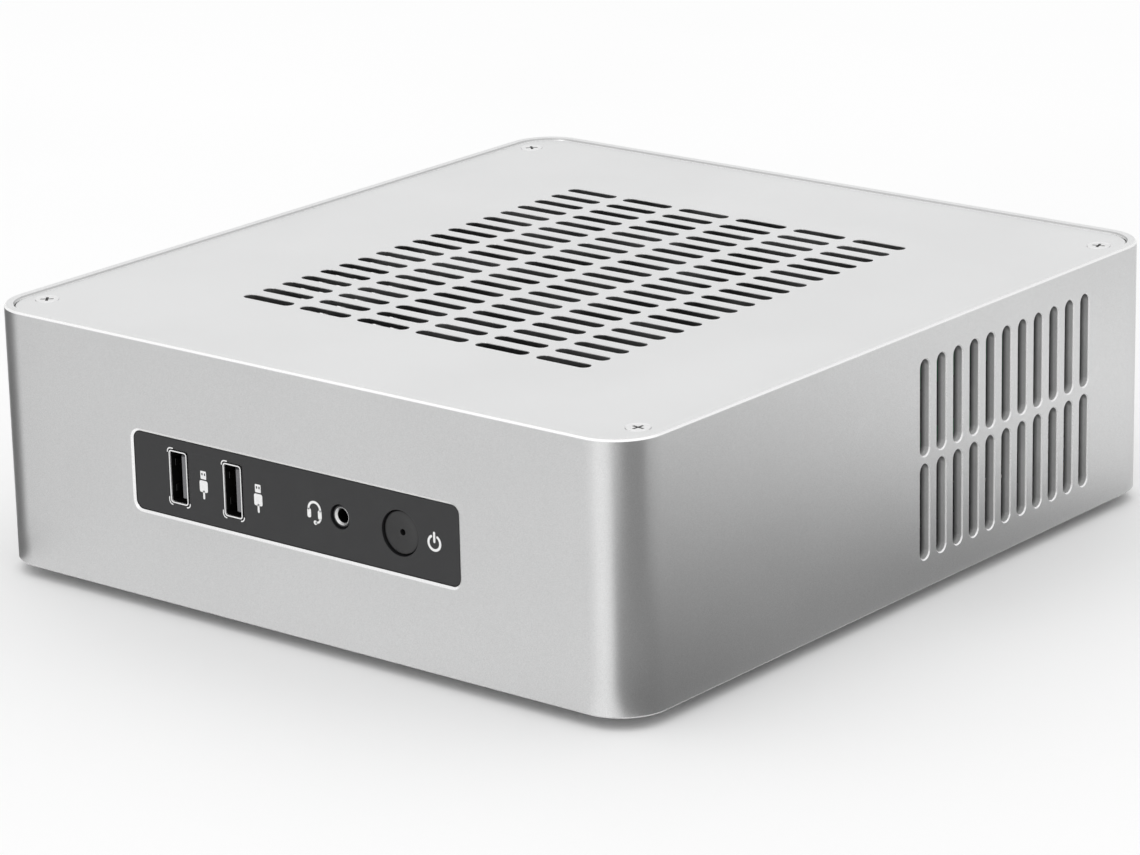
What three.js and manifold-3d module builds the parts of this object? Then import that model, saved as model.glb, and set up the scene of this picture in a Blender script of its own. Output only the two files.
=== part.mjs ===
// Low flat desktop computer in an aluminium case: a one-piece surround with a vented lid and a
// base plate screwed into its corner posts, a black control panel at the front, and a small
// square main board with its cooler, memory and rear ports inside.
//
// Millimetres. +X is the right side, +Y the back, +Z up. The origin is the point on the table
// under the middle of the case.

import * as THREE from 'three';
import { mergeVertices } from 'three/addons/utils/BufferGeometryUtils.js';
import Module from 'manifold-3d';

const wasm = await Module();
wasm.setup();

// ---------------------------------------------------------------- driving dimensions
const CASE = { width: 200, depth: 215, height: 65, radius: 12.5, wall: 2.5 };
const FOOT = { height: 3, radius: 6, chamfer: 0.8, x: 82, y: 85 };
const LID = { thick: 1.2, drop: 0.5, gap: 0.3 };
const BASE = { thick: 1.5, drop: 0.8, gap: 0.3 };
const SCREW_AT = { x: 92, y: 93.4 };
const POST = { width: 10.5, depth: 11 };

const TOP_SLOT = { length: 15.6, width: 3.6, pitchX: 18.5, pitchY: 7.0, columns: 6, rows: 19 };
const SIDE_SLOT = { length: 24, width: 3.9, pitchY: 6.92, pitchZ: 25.9, columns: 11, rows: 2 };
const SIDE_SLOTS_AT = { y: 40.4, z: 32.4 };

const PANEL = { width: 101.6, height: 19.4, radius: 2.2, z: 32.2, recess: 0.4, gap: 0.2 };
const PANEL_FLANGE = { width: 110, height: 28, thick: 1.2 };
const FRONT_USB = { xs: [-36.4, -18.9], z: 32.5, width: 5.7, height: 13.1, wall: 0.35 };
const HEADSET = { x: 14.7, z: 32.5, opening: 2.95, collar: 2.7, bore: 1.78, body: 8 };
const BUTTON = { x: 33, z: 32.1, radius: 5.3, opening: 5.55, recess: 0.6, dish: 0.4, flange: 6.3 };
const BUTTON_TRAVEL = 1.0;
const FRONT_BOARD = { width: 98, low: 20, high: 45, behind: 16.5, thick: 1.6 };
const FRONT_BOSSES = [{ x: -3, z: 32 }, { x: 45.5, z: 32 }];

const MAIN_BOARD = { size: 170, thick: 1.6, standoff: 5, y: 18.5, holesX: 157.48, holesY: 154.94 };
const IO_OPENING = { width: 158.75, height: 44.45, below: 2.1 };
const IO_SHIELD = { thick: 0.8, gap: 0.25, inset: 0.7 };

const COOLER = { x: 0, y: 14, size: 80, socket: 7.5, baseThick: 4, finHeight: 20, fins: 17, finThick: 1.3 };
const FAN = { depth: 15, bore: 38, hub: 16, tip: 36.5, blades: 7, shaft: 1.5, holes: 35.75, plate: 2.6 };
const MEMORY = {
  xs: [61, 70.5], long: 142, wide: 6.4, high: 8, latchLong: 5, latchHigh: 18, seat: 3.5,
  moduleLong: 133.35, moduleHigh: 31, moduleThick: 1.3,
};
const STORAGE = { x: -60, y: 8, width: 22, length: 80, thick: 2.4, above: 2.4, seatLong: 6, seatHigh: 4 };
const REGULATOR = { y: 67, length: 68, width: 13, baseThick: 3, finHeight: 16, fins: 4, finThick: 1.4 };


// ---------------------------------------------------------------- levels worked out from them
const halfWidth = CASE.width / 2;
const halfDepth = CASE.depth / 2;
const bodyBottom = FOOT.height;
const bodyTop = bodyBottom + CASE.height;
const lidTop = bodyTop - LID.drop;
const lidBottom = lidTop - LID.thick;
const baseBottom = bodyBottom + BASE.drop;
const baseTop = baseBottom + BASE.thick;
const frontFace = -halfDepth;
const frontInner = frontFace + CASE.wall;
const rearFace = halfDepth;
const rearInner = rearFace - CASE.wall;
const boardBottom = baseTop + MAIN_BOARD.standoff;
const boardTop = boardBottom + MAIN_BOARD.thick;
const panelFront = frontFace + PANEL.recess;
const panelBack = frontInner + 0.1 + PANEL_FLANGE.thick;
const panelZ = bodyBottom + PANEL.z;
const frontBoardFace = frontFace + FRONT_BOARD.behind;
const frontBoardBack = frontBoardFace + FRONT_BOARD.thick;
const shieldFace = rearFace - IO_SHIELD.inset;
const portFace = rearFace - 0.3;

// ---------------------------------------------------------------- materials
const finish = (color, roughness, metalness) =>
  new THREE.MeshStandardMaterial({ color, roughness, metalness });
const MATERIAL = {
  aluminium: finish(0xd6d9da, 0.45, 1),
  lidAluminium: finish(0xdfe1e1, 0.5, 1),
  steel: finish(0xb9bcc0, 0.35, 1),
  rubber: finish(0x1b1b1c, 0.9, 0),
  blackPlastic: finish(0x3c3d40, 0.5, 0),
  buttonPlastic: finish(0x26272a, 0.4, 0),
  lens: finish(0x0e0f12, 0.2, 0),
  greenBoard: finish(0x12392a, 0.55, 0),
  blackBoard: finish(0x15191c, 0.55, 0),
  contactPlastic: finish(0x202124, 0.5, 0),
  whitePlastic: finish(0xd9d7cf, 0.5, 0),
  brass: finish(0xb08d4a, 0.35, 1),
  fan: finish(0x17181a, 0.5, 0),
  heatsink: finish(0xc3c6c9, 0.4, 1),
  cable: finish(0x1d1f22, 0.7, 0),
};

// ---------------------------------------------------------------- shapes
const box = (x0, x1, y0, y1, z0, z1) =>
  new THREE.BoxGeometry(x1 - x0, y1 - y0, z1 - z0)
    .translate((x0 + x1) / 2, (y0 + y1) / 2, (z0 + z1) / 2);

const boxAt = (x, y, z, dx, dy, dz) =>
  box(x - dx / 2, x + dx / 2, y - dy / 2, y + dy / 2, z - dz / 2, z + dz / 2);

const cylinderZ = (radius, z0, z1, x, y, sides) =>
  new THREE.CylinderGeometry(radius, radius, z1 - z0, sides)
    .rotateX(Math.PI / 2).translate(x, y, (z0 + z1) / 2);

const cylinderY = (radius, y0, y1, x, z, sides) =>
  new THREE.CylinderGeometry(radius, radius, y1 - y0, sides).translate(x, (y0 + y1) / 2, z);

const coneZ = (radiusLow, radiusHigh, z0, z1, x, y) =>
  new THREE.CylinderGeometry(radiusHigh, radiusLow, z1 - z0, 12)
    .rotateX(Math.PI / 2).translate(x, y, (z0 + z1) / 2);

function roundedRect(width, height, radius, target = new THREE.Shape()) {
  const x = width / 2 - radius;
  const y = height / 2 - radius;
  const quarter = Math.PI / 2;
  target.absarc(x, -y, radius, -quarter, 0);
  target.absarc(x, y, radius, 0, quarter);
  target.absarc(-x, y, radius, quarter, 2 * quarter);
  target.absarc(-x, -y, radius, 2 * quarter, 3 * quarter);
  target.closePath();
  return target;
}

// Outline of a slot with round ends, its long side along the first axis unless upright.
function slotOutline(length, width, cx, cy, upright, steps) {
  const radius = width / 2;
  const reach = length / 2 - radius;
  const points = [];
  for (const side of [1, -1]) {
    for (let i = 0; i <= steps; i++) {
      const angle = -Math.PI / 2 + (i * Math.PI) / steps;
      const along = side * (reach + radius * Math.cos(angle));
      const across = side * radius * Math.sin(angle);
      points.push(new THREE.Vector2(cx + (upright ? -across : along), cy + (upright ? along : across)));
    }
  }
  return points;
}

const extrudeZ = (shape, z0, z1) =>
  new THREE.ExtrudeGeometry(shape, { depth: z1 - z0, bevelEnabled: false, curveSegments: 5 })
    .translate(0, 0, z0);

// The shape's own X and Y become X and Z, and it is swept from y0 to y1.
const extrudeY = (shape, y0, y1) =>
  new THREE.ExtrudeGeometry(shape, { depth: y1 - y0, bevelEnabled: false, curveSegments: 3 })
    .rotateX(Math.PI / 2).translate(0, y1, 0);

// The shape's own X and Y become Y and Z, and it is swept from x0 to x1.
const turnToX = new THREE.Matrix4().makeBasis(
  new THREE.Vector3(0, 1, 0), new THREE.Vector3(0, 0, 1), new THREE.Vector3(1, 0, 0));
const extrudeX = (shape, x0, x1) =>
  new THREE.ExtrudeGeometry(shape, { depth: x1 - x0, bevelEnabled: false, curveSegments: 3 })
    .applyMatrix4(turnToX).translate(x0, 0, 0);

// A turned piece: its profile is a list of [radius, height] from the lower end to the upper.
const turned = (profile, sides) =>
  new THREE.LatheGeometry(profile.map(([r, h]) => new THREE.Vector2(r, h)), sides);
const turnedZ = (profile, sides) => turned(profile, sides).rotateX(Math.PI / 2);

// ---------------------------------------------------------------- joining and cutting
function solid(geometry) {
  const bare = geometry.clone();
  bare.deleteAttribute('normal');
  bare.deleteAttribute('uv');
  const merged = mergeVertices(bare, 1e-5);
  return new wasm.Manifold(new wasm.Mesh({
    numProp: 3,
    vertProperties: new Float32Array(merged.attributes.position.array),
    triVerts: new Uint32Array(merged.index.array),
  }));
}

function geometryOf(manifold) {
  const mesh = manifold.getMesh();
  const geometry = new THREE.BufferGeometry();
  geometry.setAttribute('position', new THREE.BufferAttribute(new Float32Array(mesh.vertProperties), 3));
  geometry.setIndex(new THREE.BufferAttribute(new Uint32Array(mesh.triVerts), 1));
  geometry.computeVertexNormals();
  return geometry;
}

// The base geometry with others joined to it and then others cut from it.
function carve(base, { join = [], cut = [] }) {
  let result = solid(base);
  for (const piece of join) result = result.add(solid(piece));
  for (const piece of cut) result = result.subtract(solid(piece));
  return geometryOf(result);
}

// ---------------------------------------------------------------- the scene graph
const computer = new THREE.Group();
computer.name = 'desktop_computer';

function place(name, geometry, material, at = [0, 0, 0]) {
  const mesh = new THREE.Mesh(geometry, material);
  mesh.name = name;
  mesh.position.set(...at);
  computer.add(mesh);
}

const CORNERS = [
  { name: 'front_left', sx: -1, sy: -1 },
  { name: 'front_right', sx: 1, sy: -1 },
  { name: 'rear_left', sx: -1, sy: 1 },
  { name: 'rear_right', sx: 1, sy: 1 },
];

// ---------------------------------------------------------------- surround, lid and base
function surroundFrame() {
  const outline = roundedRect(CASE.width, CASE.depth, CASE.radius);
  const inner = CASE.radius - CASE.wall;
  outline.holes.push(
    roundedRect(CASE.width - 2 * CASE.wall, CASE.depth - 2 * CASE.wall, inner, new THREE.Path()));

  const join = [];
  const cut = [];
  for (const { sx, sy } of CORNERS) {
    const outer = sx * (halfWidth - CASE.wall / 2);
    const inside = sx * (halfWidth - CASE.wall - POST.width);
    const y = sy * SCREW_AT.y;
    join.push(box(Math.min(outer, inside), Math.max(outer, inside),
      y - POST.depth / 2, y + POST.depth / 2, baseTop, lidBottom));
    cut.push(cylinderZ(1.35, lidBottom - 9, lidBottom + 1, sx * SCREW_AT.x, y, 12));
    cut.push(cylinderZ(1.35, baseTop - 1, baseTop + 9, sx * SCREW_AT.x, y, 12));
  }

  // vents through both side walls
  for (let row = 0; row < SIDE_SLOT.rows; row++) {
    for (let column = 0; column < SIDE_SLOT.columns; column++) {
      const y = SIDE_SLOTS_AT.y + (column - (SIDE_SLOT.columns - 1) / 2) * SIDE_SLOT.pitchY;
      const z = bodyBottom + SIDE_SLOTS_AT.z + (row - (SIDE_SLOT.rows - 1) / 2) * SIDE_SLOT.pitchZ;
      const shape = new THREE.Shape(slotOutline(SIDE_SLOT.length, SIDE_SLOT.width, y, z, true, 3));
      for (const side of [1, -1]) {
        const near = side * (halfWidth - CASE.wall - 1);
        const far = side * (halfWidth + 1);
        cut.push(extrudeX(shape, Math.min(near, far), Math.max(near, far)));
      }
    }
  }

  // opening for the control panel
  const open = roundedRect(PANEL.width + 2 * PANEL.gap, PANEL.height + 2 * PANEL.gap,
    PANEL.radius + PANEL.gap);
  cut.push(extrudeY(open, frontFace - 1, frontInner + 1).translate(0, 0, panelZ));

  // opening for the rear ports
  const openingLow = boardTop - IO_OPENING.below;
  cut.push(box(-IO_OPENING.width / 2, IO_OPENING.width / 2, rearInner - 1, rearFace + 1,
    openingLow, openingLow + IO_OPENING.height));

  place('surround_frame', carve(extrudeZ(outline, bodyBottom, bodyTop), { join, cut }),
    MATERIAL.aluminium);
}

const plateOutline = (gap) => roundedRect(
  CASE.width - 2 * (CASE.wall + gap), CASE.depth - 2 * (CASE.wall + gap),
  CASE.radius - CASE.wall - gap);

function topLid() {
  const outline = plateOutline(LID.gap);
  for (let row = 0; row < TOP_SLOT.rows; row++) {
    for (let column = 0; column < TOP_SLOT.columns; column++) {
      const x = (column - (TOP_SLOT.columns - 1) / 2) * TOP_SLOT.pitchX;
      const y = (row - (TOP_SLOT.rows - 1) / 2) * TOP_SLOT.pitchY;
      outline.holes.push(new THREE.Path(slotOutline(TOP_SLOT.length, TOP_SLOT.width, x, y, false, 2)));
    }
  }
  const cut = CORNERS.map(({ sx, sy }) => coneZ(1.35, 3.1, lidBottom - 0.1, lidTop + 0.1,
    sx * SCREW_AT.x, sy * SCREW_AT.y));
  place('top_lid', carve(extrudeZ(outline, lidBottom, lidTop), { cut }), MATERIAL.lidAluminium);
}

function basePlate() {
  const cut = CORNERS.map(({ sx, sy }) => coneZ(3.1, 1.35, baseBottom - 0.1, baseTop + 0.1,
    sx * SCREW_AT.x, sy * SCREW_AT.y));
  place('base_plate', carve(extrudeZ(plateOutline(BASE.gap), baseBottom, baseTop), { cut }),
    MATERIAL.aluminium);
}

// A countersunk screw standing on its tip, its head's top at z = 0, with a cross recess.
function countersunkScrew(headDepth) {
  const screw = turnedZ([[0, -8], [0.9, -8], [1.15, -7.4], [1.15, -headDepth], [2.75, 0], [0, 0]], 12);
  const bar = (dx, dy) => boxAt(0, 0, -0.35, dx, dy, 0.9);
  return carve(screw, { cut: [bar(3, 0.6), bar(0.6, 3)] });
}

function cornerScrews() {
  const lidScrew = countersunkScrew(LID.thick);
  const baseScrew = countersunkScrew(BASE.thick).rotateX(Math.PI);
  for (const { name, sx, sy } of CORNERS) {
    place(`lid_screw_${name}`, lidScrew, MATERIAL.steel, [sx * SCREW_AT.x, sy * SCREW_AT.y, lidTop]);
    place(`base_screw_${name}`, baseScrew, MATERIAL.steel,
      [sx * SCREW_AT.x, sy * SCREW_AT.y, baseBottom]);
  }
}

function rubberFeet() {
  const r = FOOT.radius;
  const foot = turnedZ([[0, 0], [r - FOOT.chamfer, 0], [r, FOOT.chamfer], [r, baseBottom],
    [0, baseBottom]], 24);
  for (const { name, sx, sy } of CORNERS) {
    place(`rubber_foot_${name}`, foot, MATERIAL.rubber, [sx * FOOT.x, sy * FOOT.y, 0]);
  }
}

// ---------------------------------------------------------------- front controls
function frontPanel() {
  const plate = extrudeY(roundedRect(PANEL.width, PANEL.height, PANEL.radius),
    panelFront, frontInner + 0.2).translate(0, 0, panelZ);
  const flange = boxAt(0, panelBack - PANEL_FLANGE.thick / 2, panelZ,
    PANEL_FLANGE.width, PANEL_FLANGE.thick, PANEL_FLANGE.height);
  const join = [flange];
  const through = [panelFront - 1, panelBack + 1];
  const cut = FRONT_USB.xs.map((x) => box(
    x - FRONT_USB.width / 2 - 0.2, x + FRONT_USB.width / 2 + 0.2, ...through,
    bodyBottom + FRONT_USB.z - FRONT_USB.height / 2 - 0.2,
    bodyBottom + FRONT_USB.z + FRONT_USB.height / 2 + 0.2));
  cut.push(cylinderY(HEADSET.opening, ...through, HEADSET.x, bodyBottom + HEADSET.z, 24));
  cut.push(cylinderY(BUTTON.opening, ...through, BUTTON.x, bodyBottom + BUTTON.z, 24));
  for (const { x, z } of FRONT_BOSSES) {
    join.push(cylinderY(2.5, panelBack - 0.2, frontBoardFace, x, bodyBottom + z, 16));
    cut.push(cylinderY(1.1, frontBoardFace - 8, frontBoardFace + 1, x, bodyBottom + z, 12));
  }
  place('front_panel', carve(plate, { join, cut }), MATERIAL.blackPlastic);
}

function frontBoard() {
  const cut = FRONT_BOSSES.map(({ x, z }) =>
    cylinderY(1.5, frontBoardFace - 1, frontBoardBack + 1, x, bodyBottom + z, 12));
  const half = FRONT_BOARD.width / 2;
  const board = box(-half, half, frontBoardFace, frontBoardBack,
    bodyBottom + FRONT_BOARD.low, bodyBottom + FRONT_BOARD.high);
  place('front_io_board', carve(board, { cut }), MATERIAL.greenBoard);

  const screw = turned([[0, 0], [2.4, 0], [2.4, 0.9], [1.9, 1.5], [0, 1.5]], 12);
  const shank = cylinderY(0.9, -7, 0.1, 0, 0, 12);
  const slot = boxAt(0, 1.3, 0, 3.2, 0.9, 0.6);
  const across = boxAt(0, 1.3, 0, 0.6, 0.9, 3.2);
  const geometry = carve(screw, { join: [shank], cut: [slot, across] });
  FRONT_BOSSES.forEach(({ x, z }, i) => {
    place(`front_board_screw_${i + 1}`, geometry, MATERIAL.steel, [x, frontBoardBack, bodyBottom + z]);
  });
}

// One upright socket: a folded steel shell, and the plastic tongue that carries the contacts.
function frontUsb(name, x) {
  const { width, height, wall } = FRONT_USB;
  const z = bodyBottom + FRONT_USB.z;
  const front = panelFront - 0.2;
  const long = frontBoardFace - front;
  const middle = (front + frontBoardFace) / 2;
  const shell = carve(boxAt(x, middle, z, width, long, height), {
    cut: [boxAt(x, middle, z, width - 2 * wall, long + 2, height - 2 * wall)],
  });
  place(`front_usb_shell_${name}`, shell, MATERIAL.steel);

  const play = 0.1;
  const block = boxAt(x, frontBoardFace - 3, z, width - 2 * (wall + play), 6, height - 2 * (wall + play));
  const tongue = box(x + 0.1, x + 1.9, front + 1, frontBoardFace - 5, z - 5.5, z + 5.5);
  place(`front_usb_tongue_${name}`, carve(block, { join: [tongue] }), MATERIAL.contactPlastic);
}

function headsetJack() {
  const z = bodyBottom + HEADSET.z;
  const half = HEADSET.body / 2;
  const body = box(HEADSET.x - half, HEADSET.x + half, panelBack + 0.4, frontBoardFace,
    z - half, z + half);
  const collar = cylinderY(HEADSET.collar, panelFront + 0.5, panelBack + 1, HEADSET.x, z, 24);
  const bore = cylinderY(HEADSET.bore, panelFront - 1, frontBoardFace - 1.5, HEADSET.x, z, 20);
  place('headset_jack', carve(body, { join: [collar], cut: [bore] }), MATERIAL.blackPlastic);
}

// The button slides straight in. A flange behind the panel keeps it from coming out, and its
// stem ends at the plunger of the switch on the front board.
function powerButton() {
  const at = [BUTTON.x, 0, bodyBottom + BUTTON.z];
  const face = panelFront + BUTTON.recess;
  const flangeFront = panelBack + 0.2;
  const stemEnd = frontBoardFace - 5;
  const r = BUTTON.radius;
  const lensBore = 0.85;
  const lensDepth = 4;

  // Along the button's axis, measured from its face, heights run towards the back.
  const cap = turned([
    [lensBore, face + BUTTON.dish], [lensBore, face + lensDepth], [0, face + lensDepth],
    [0, stemEnd], [2, stemEnd], [2, flangeFront + 1], [BUTTON.flange, flangeFront + 1],
    [BUTTON.flange, flangeFront],
    [r, flangeFront], [r, face + 0.3], [r - 0.3, face], [r - 1.4, face + 0.06],
    [lensBore, face + BUTTON.dish],
  ].reverse(), 24);
  place('power_button', cap, MATERIAL.buttonPlastic, at);

  const lens = cylinderY(0.7, face + BUTTON.dish, face + lensDepth - 0.2, 0, 0, 12);
  place('power_light_pipe', lens, MATERIAL.lens, at);

  const plungerStart = stemEnd + 0.05;
  const plungerEnd = plungerStart + 3;
  place('power_switch_plunger', cylinderY(1.7, plungerStart, plungerEnd, 0, 0, 16),
    MATERIAL.whitePlastic, at);

  const body = boxAt(0, frontBoardFace - 1.75, 0, 6.2, 3.5, 6.2);
  const well = cylinderY(1.95, frontBoardFace - 5, plungerEnd + BUTTON_TRAVEL + 0.3, 0, 0, 16);
  place('power_switch_body', carve(body, { cut: [well] }), MATERIAL.contactPlastic, at);
}

// The bundle of leads from the front board to its plug on the main board.
const CABLE_ROUTE = [
  [-8, frontBoardBack + 0.3, 33], [-8, -84, 33], [-12, -78, 31], [-20, -72, 31],
  [-27, -66, 34], [-31, -60.5, 33], [-32, -58, 28], [-32, -58, 22.7],
];

function frontCable() {
  const route = new THREE.CatmullRomCurve3(CABLE_ROUTE.map((p) => new THREE.Vector3(...p)));
  const section = new THREE.Shape();
  section.absarc(0, 0, 2, 0, 2 * Math.PI);
  const cable = new THREE.ExtrudeGeometry(section,
    { steps: 22, curveSegments: 4, bevelEnabled: false, extrudePath: route });
  place('front_io_cable', cable, MATERIAL.cable);
  place('front_cable_plug', boxAt(-32, -58, boardTop + 5.25, 20, 5, 10.4), MATERIAL.blackPlastic);
}

// ---------------------------------------------------------------- main board
const boardHoles = CORNERS.map(({ name, sx, sy }) => ({
  name, x: (sx * MAIN_BOARD.holesX) / 2, y: MAIN_BOARD.y + (sy * MAIN_BOARD.holesY) / 2,
}));

function mainBoard() {
  const board = boxAt(0, MAIN_BOARD.y, boardBottom + MAIN_BOARD.thick / 2,
    MAIN_BOARD.size, MAIN_BOARD.size, MAIN_BOARD.thick);
  const cut = boardHoles.map(({ x, y }) => cylinderZ(1.9, boardBottom - 1, boardTop + 1, x, y, 16));
  place('main_board', carve(board, { cut }), MATERIAL.blackBoard);

  const pillar = carve(cylinderZ(2.8, 0, MAIN_BOARD.standoff, 0, 0, 6),
    { cut: [cylinderZ(1.35, 0.8, MAIN_BOARD.standoff + 1, 0, 0, 12)] });
  const screw = turnedZ([[0, -4.5], [1.1, -4.5], [1.1, 0], [3, 0], [3, 1], [2.3, 1.7], [0, 1.7]], 12);
  const recessed = carve(screw, { cut: [boxAt(0, 0, 1.5, 3.4, 0.6, 1), boxAt(0, 0, 1.5, 0.6, 3.4, 1)] });
  for (const { name, x, y } of boardHoles) {
    place(`board_standoff_${name}`, pillar, MATERIAL.brass, [x, y, baseTop]);
    place(`board_screw_${name}`, recessed, MATERIAL.steel, [x, y, boardTop]);
  }
}

// Outline of a finned block: a base of the given thickness with upright fins on it.
function finnedOutline(width, baseThick, finHeight, fins, finThick) {
  const pitch = (width - finThick) / (fins - 1);
  const points = [new THREE.Vector2(-width / 2, 0), new THREE.Vector2(width / 2, 0)];
  for (let i = fins - 1; i >= 0; i--) {
    const left = -width / 2 + i * pitch;
    const right = left + finThick;
    if (i < fins - 1) points.push(new THREE.Vector2(right, baseThick));
    points.push(new THREE.Vector2(right, baseThick + finHeight));
    points.push(new THREE.Vector2(left, baseThick + finHeight));
    if (i > 0) points.push(new THREE.Vector2(left, baseThick));
  }
  return new THREE.Shape(points);
}

const heatsinkBottom = boardTop + COOLER.socket;
const fanBottom = heatsinkBottom + COOLER.baseThick + COOLER.finHeight + 0.05;

function cpuCooler() {
  const { x, y, size } = COOLER;
  place('cpu_socket', boxAt(x, y, boardTop + COOLER.socket / 2, 44, 46, COOLER.socket - 0.1),
    MATERIAL.whitePlastic);
  const fins = extrudeY(finnedOutline(size, COOLER.baseThick, COOLER.finHeight, COOLER.fins,
    COOLER.finThick), -size / 2, size / 2);
  place('cpu_heatsink', fins, MATERIAL.heatsink, [x, y, heatsinkBottom]);
  fan();
}

// The frame holds the motor plate on four arms; the rotor turns on the shaft in its middle.
function fan() {
  const at = [COOLER.x, COOLER.y, fanBottom];
  const half = COOLER.size / 2;
  const plateThick = FAN.plate;
  const frame = box(-half, half, -half, half, 0, FAN.depth);
  const cut = [cylinderZ(FAN.bore, -1, FAN.depth + 1, 0, 0, 32)];
  for (const { sx, sy } of CORNERS) {
    cut.push(cylinderZ(2.1, -1, FAN.depth + 1, sx * FAN.holes, sy * FAN.holes, 12));
  }
  let body = solid(carve(frame, { cut }));
  body = body.add(solid(cylinderZ(FAN.hub, 0, plateThick, 0, 0, 20)));
  for (let i = 0; i < 4; i++) {
    const arm = boxAt(27, 0, plateThick / 2, 25, 3, plateThick).rotateZ(Math.PI / 4 + (i * Math.PI) / 2);
    body = body.add(solid(arm));
  }
  body = body.subtract(solid(cylinderZ(FAN.shaft + 0.3, 0.6, plateThick + 1, 0, 0, 16)));
  place('fan_frame', geometryOf(body), MATERIAL.fan, at);

  const low = plateThick + 0.6;
  const high = FAN.depth - 0.8;
  const join = [cylinderZ(FAN.shaft, 1, low + 1, 0, 0, 16)];
  const span = FAN.tip - FAN.hub + 1;
  for (let i = 0; i < FAN.blades; i++) {
    join.push(boxAt(0, 0, 0, span, 14, 1.2)
      .rotateX(-THREE.MathUtils.degToRad(38))
      .translate(FAN.tip - span / 2, 0, (low + high) / 2)
      .rotateZ((i * 2 * Math.PI) / FAN.blades));
  }
  const hub = cylinderZ(FAN.hub, low, high, 0, 0, 24);
  place('fan_rotor', carve(hub, { join }), MATERIAL.fan, at);
}

function memory() {
  const m = MEMORY;
  const y = MAIN_BOARD.y - 2;
  const latchAt = (m.long - m.latchLong) / 2;
  const latch = (x, side) => boxAt(x, y + side * latchAt, boardTop + m.latchHigh / 2,
    m.wide, m.latchLong, m.latchHigh);
  m.xs.forEach((x, i) => {
    const seat = carve(boxAt(x, y, boardTop + m.high / 2, m.wide, m.long, m.high), {
      join: [latch(x, -1), latch(x, 1)],
      cut: [box(x - 0.95, x + 0.95, y - m.moduleLong / 2 - 0.5, y + m.moduleLong / 2 + 0.5,
        boardTop + m.seat - 0.5, boardTop + m.latchHigh + 3)],
    });
    place(`memory_slot_${i + 1}`, seat, MATERIAL.contactPlastic);
    place(`memory_module_${i + 1}`, boxAt(x, y, boardTop + m.seat + m.moduleHigh / 2,
      m.moduleThick, m.moduleLong, m.moduleHigh), MATERIAL.greenBoard);
  });
}

function boardFittings() {
  const { x, y, width, length, thick, above, seatLong, seatHigh } = STORAGE;
  const seatY = y + length / 2 - seatLong / 2 + 1;
  const stick = carve(boxAt(x, y, boardTop + above + thick / 2, width, length, thick), {
    join: [boxAt(x, seatY, boardTop + 0.05 + seatHigh / 2, width, seatLong, seatHigh)],
  });
  place('storage_stick', stick, MATERIAL.blackBoard);

  const r = REGULATOR;
  const fins = extrudeX(finnedOutline(r.width, r.baseThick, r.finHeight, r.fins, r.finThick),
    -r.length / 2, r.length / 2);
  place('regulator_heatsink', fins, MATERIAL.heatsink, [0, r.y, boardTop + 0.1]);
}

// ---------------------------------------------------------------- rear ports
const portDepth = 15;
const portBlock = (x, width, height, low = boardTop + 0.05) =>
  box(x - width / 2, x + width / 2, portFace - portDepth, portFace, low, low + height);
const socket = (x, z, width, height, deep) =>
  box(x - width / 2, x + width / 2, portFace - deep, portFace + 1, z - height / 2, z + height / 2);

const PORTS = {
  dc: { x: -70, width: 9.4, height: 11 },
  video: [{ x: -52, width: 15.4, height: 6.4 }, { x: -33, width: 15.4, height: 6.4 }],
  usb: [{ x: -13, width: 14.4, height: 16.4 }, { x: 5, width: 14.4, height: 16.4 }],
  lan: { x: 25, width: 16.2, height: 13.6 },
  audio: { x: 62, width: 13, height: 34 },
};
const ANTENNAS = [{ x: 22, z: 42 }, { x: 40, z: 42 }];
const antennaHole = 3.3;

function ioShield() {
  const { width, height, below } = IO_OPENING;
  const low = boardTop - below;
  const { gap } = IO_SHIELD;
  const plate = box(-width / 2 + gap, width / 2 - gap, shieldFace - IO_SHIELD.thick, shieldFace,
    low + gap, low + height - gap);
  const through = [shieldFace - 3, shieldFace + 1];
  const cut = [PORTS.dc, ...PORTS.video, ...PORTS.usb, PORTS.lan, PORTS.audio].map((port) =>
    box(port.x - port.width / 2 - 0.3, port.x + port.width / 2 + 0.3, ...through,
      boardTop - 0.3, boardTop + port.height + 0.4));
  for (const { x, z } of ANTENNAS) cut.push(cylinderY(antennaHole, ...through, x, z, 20));
  place('io_shield', carve(plate, { cut }), MATERIAL.steel);
}

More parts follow.
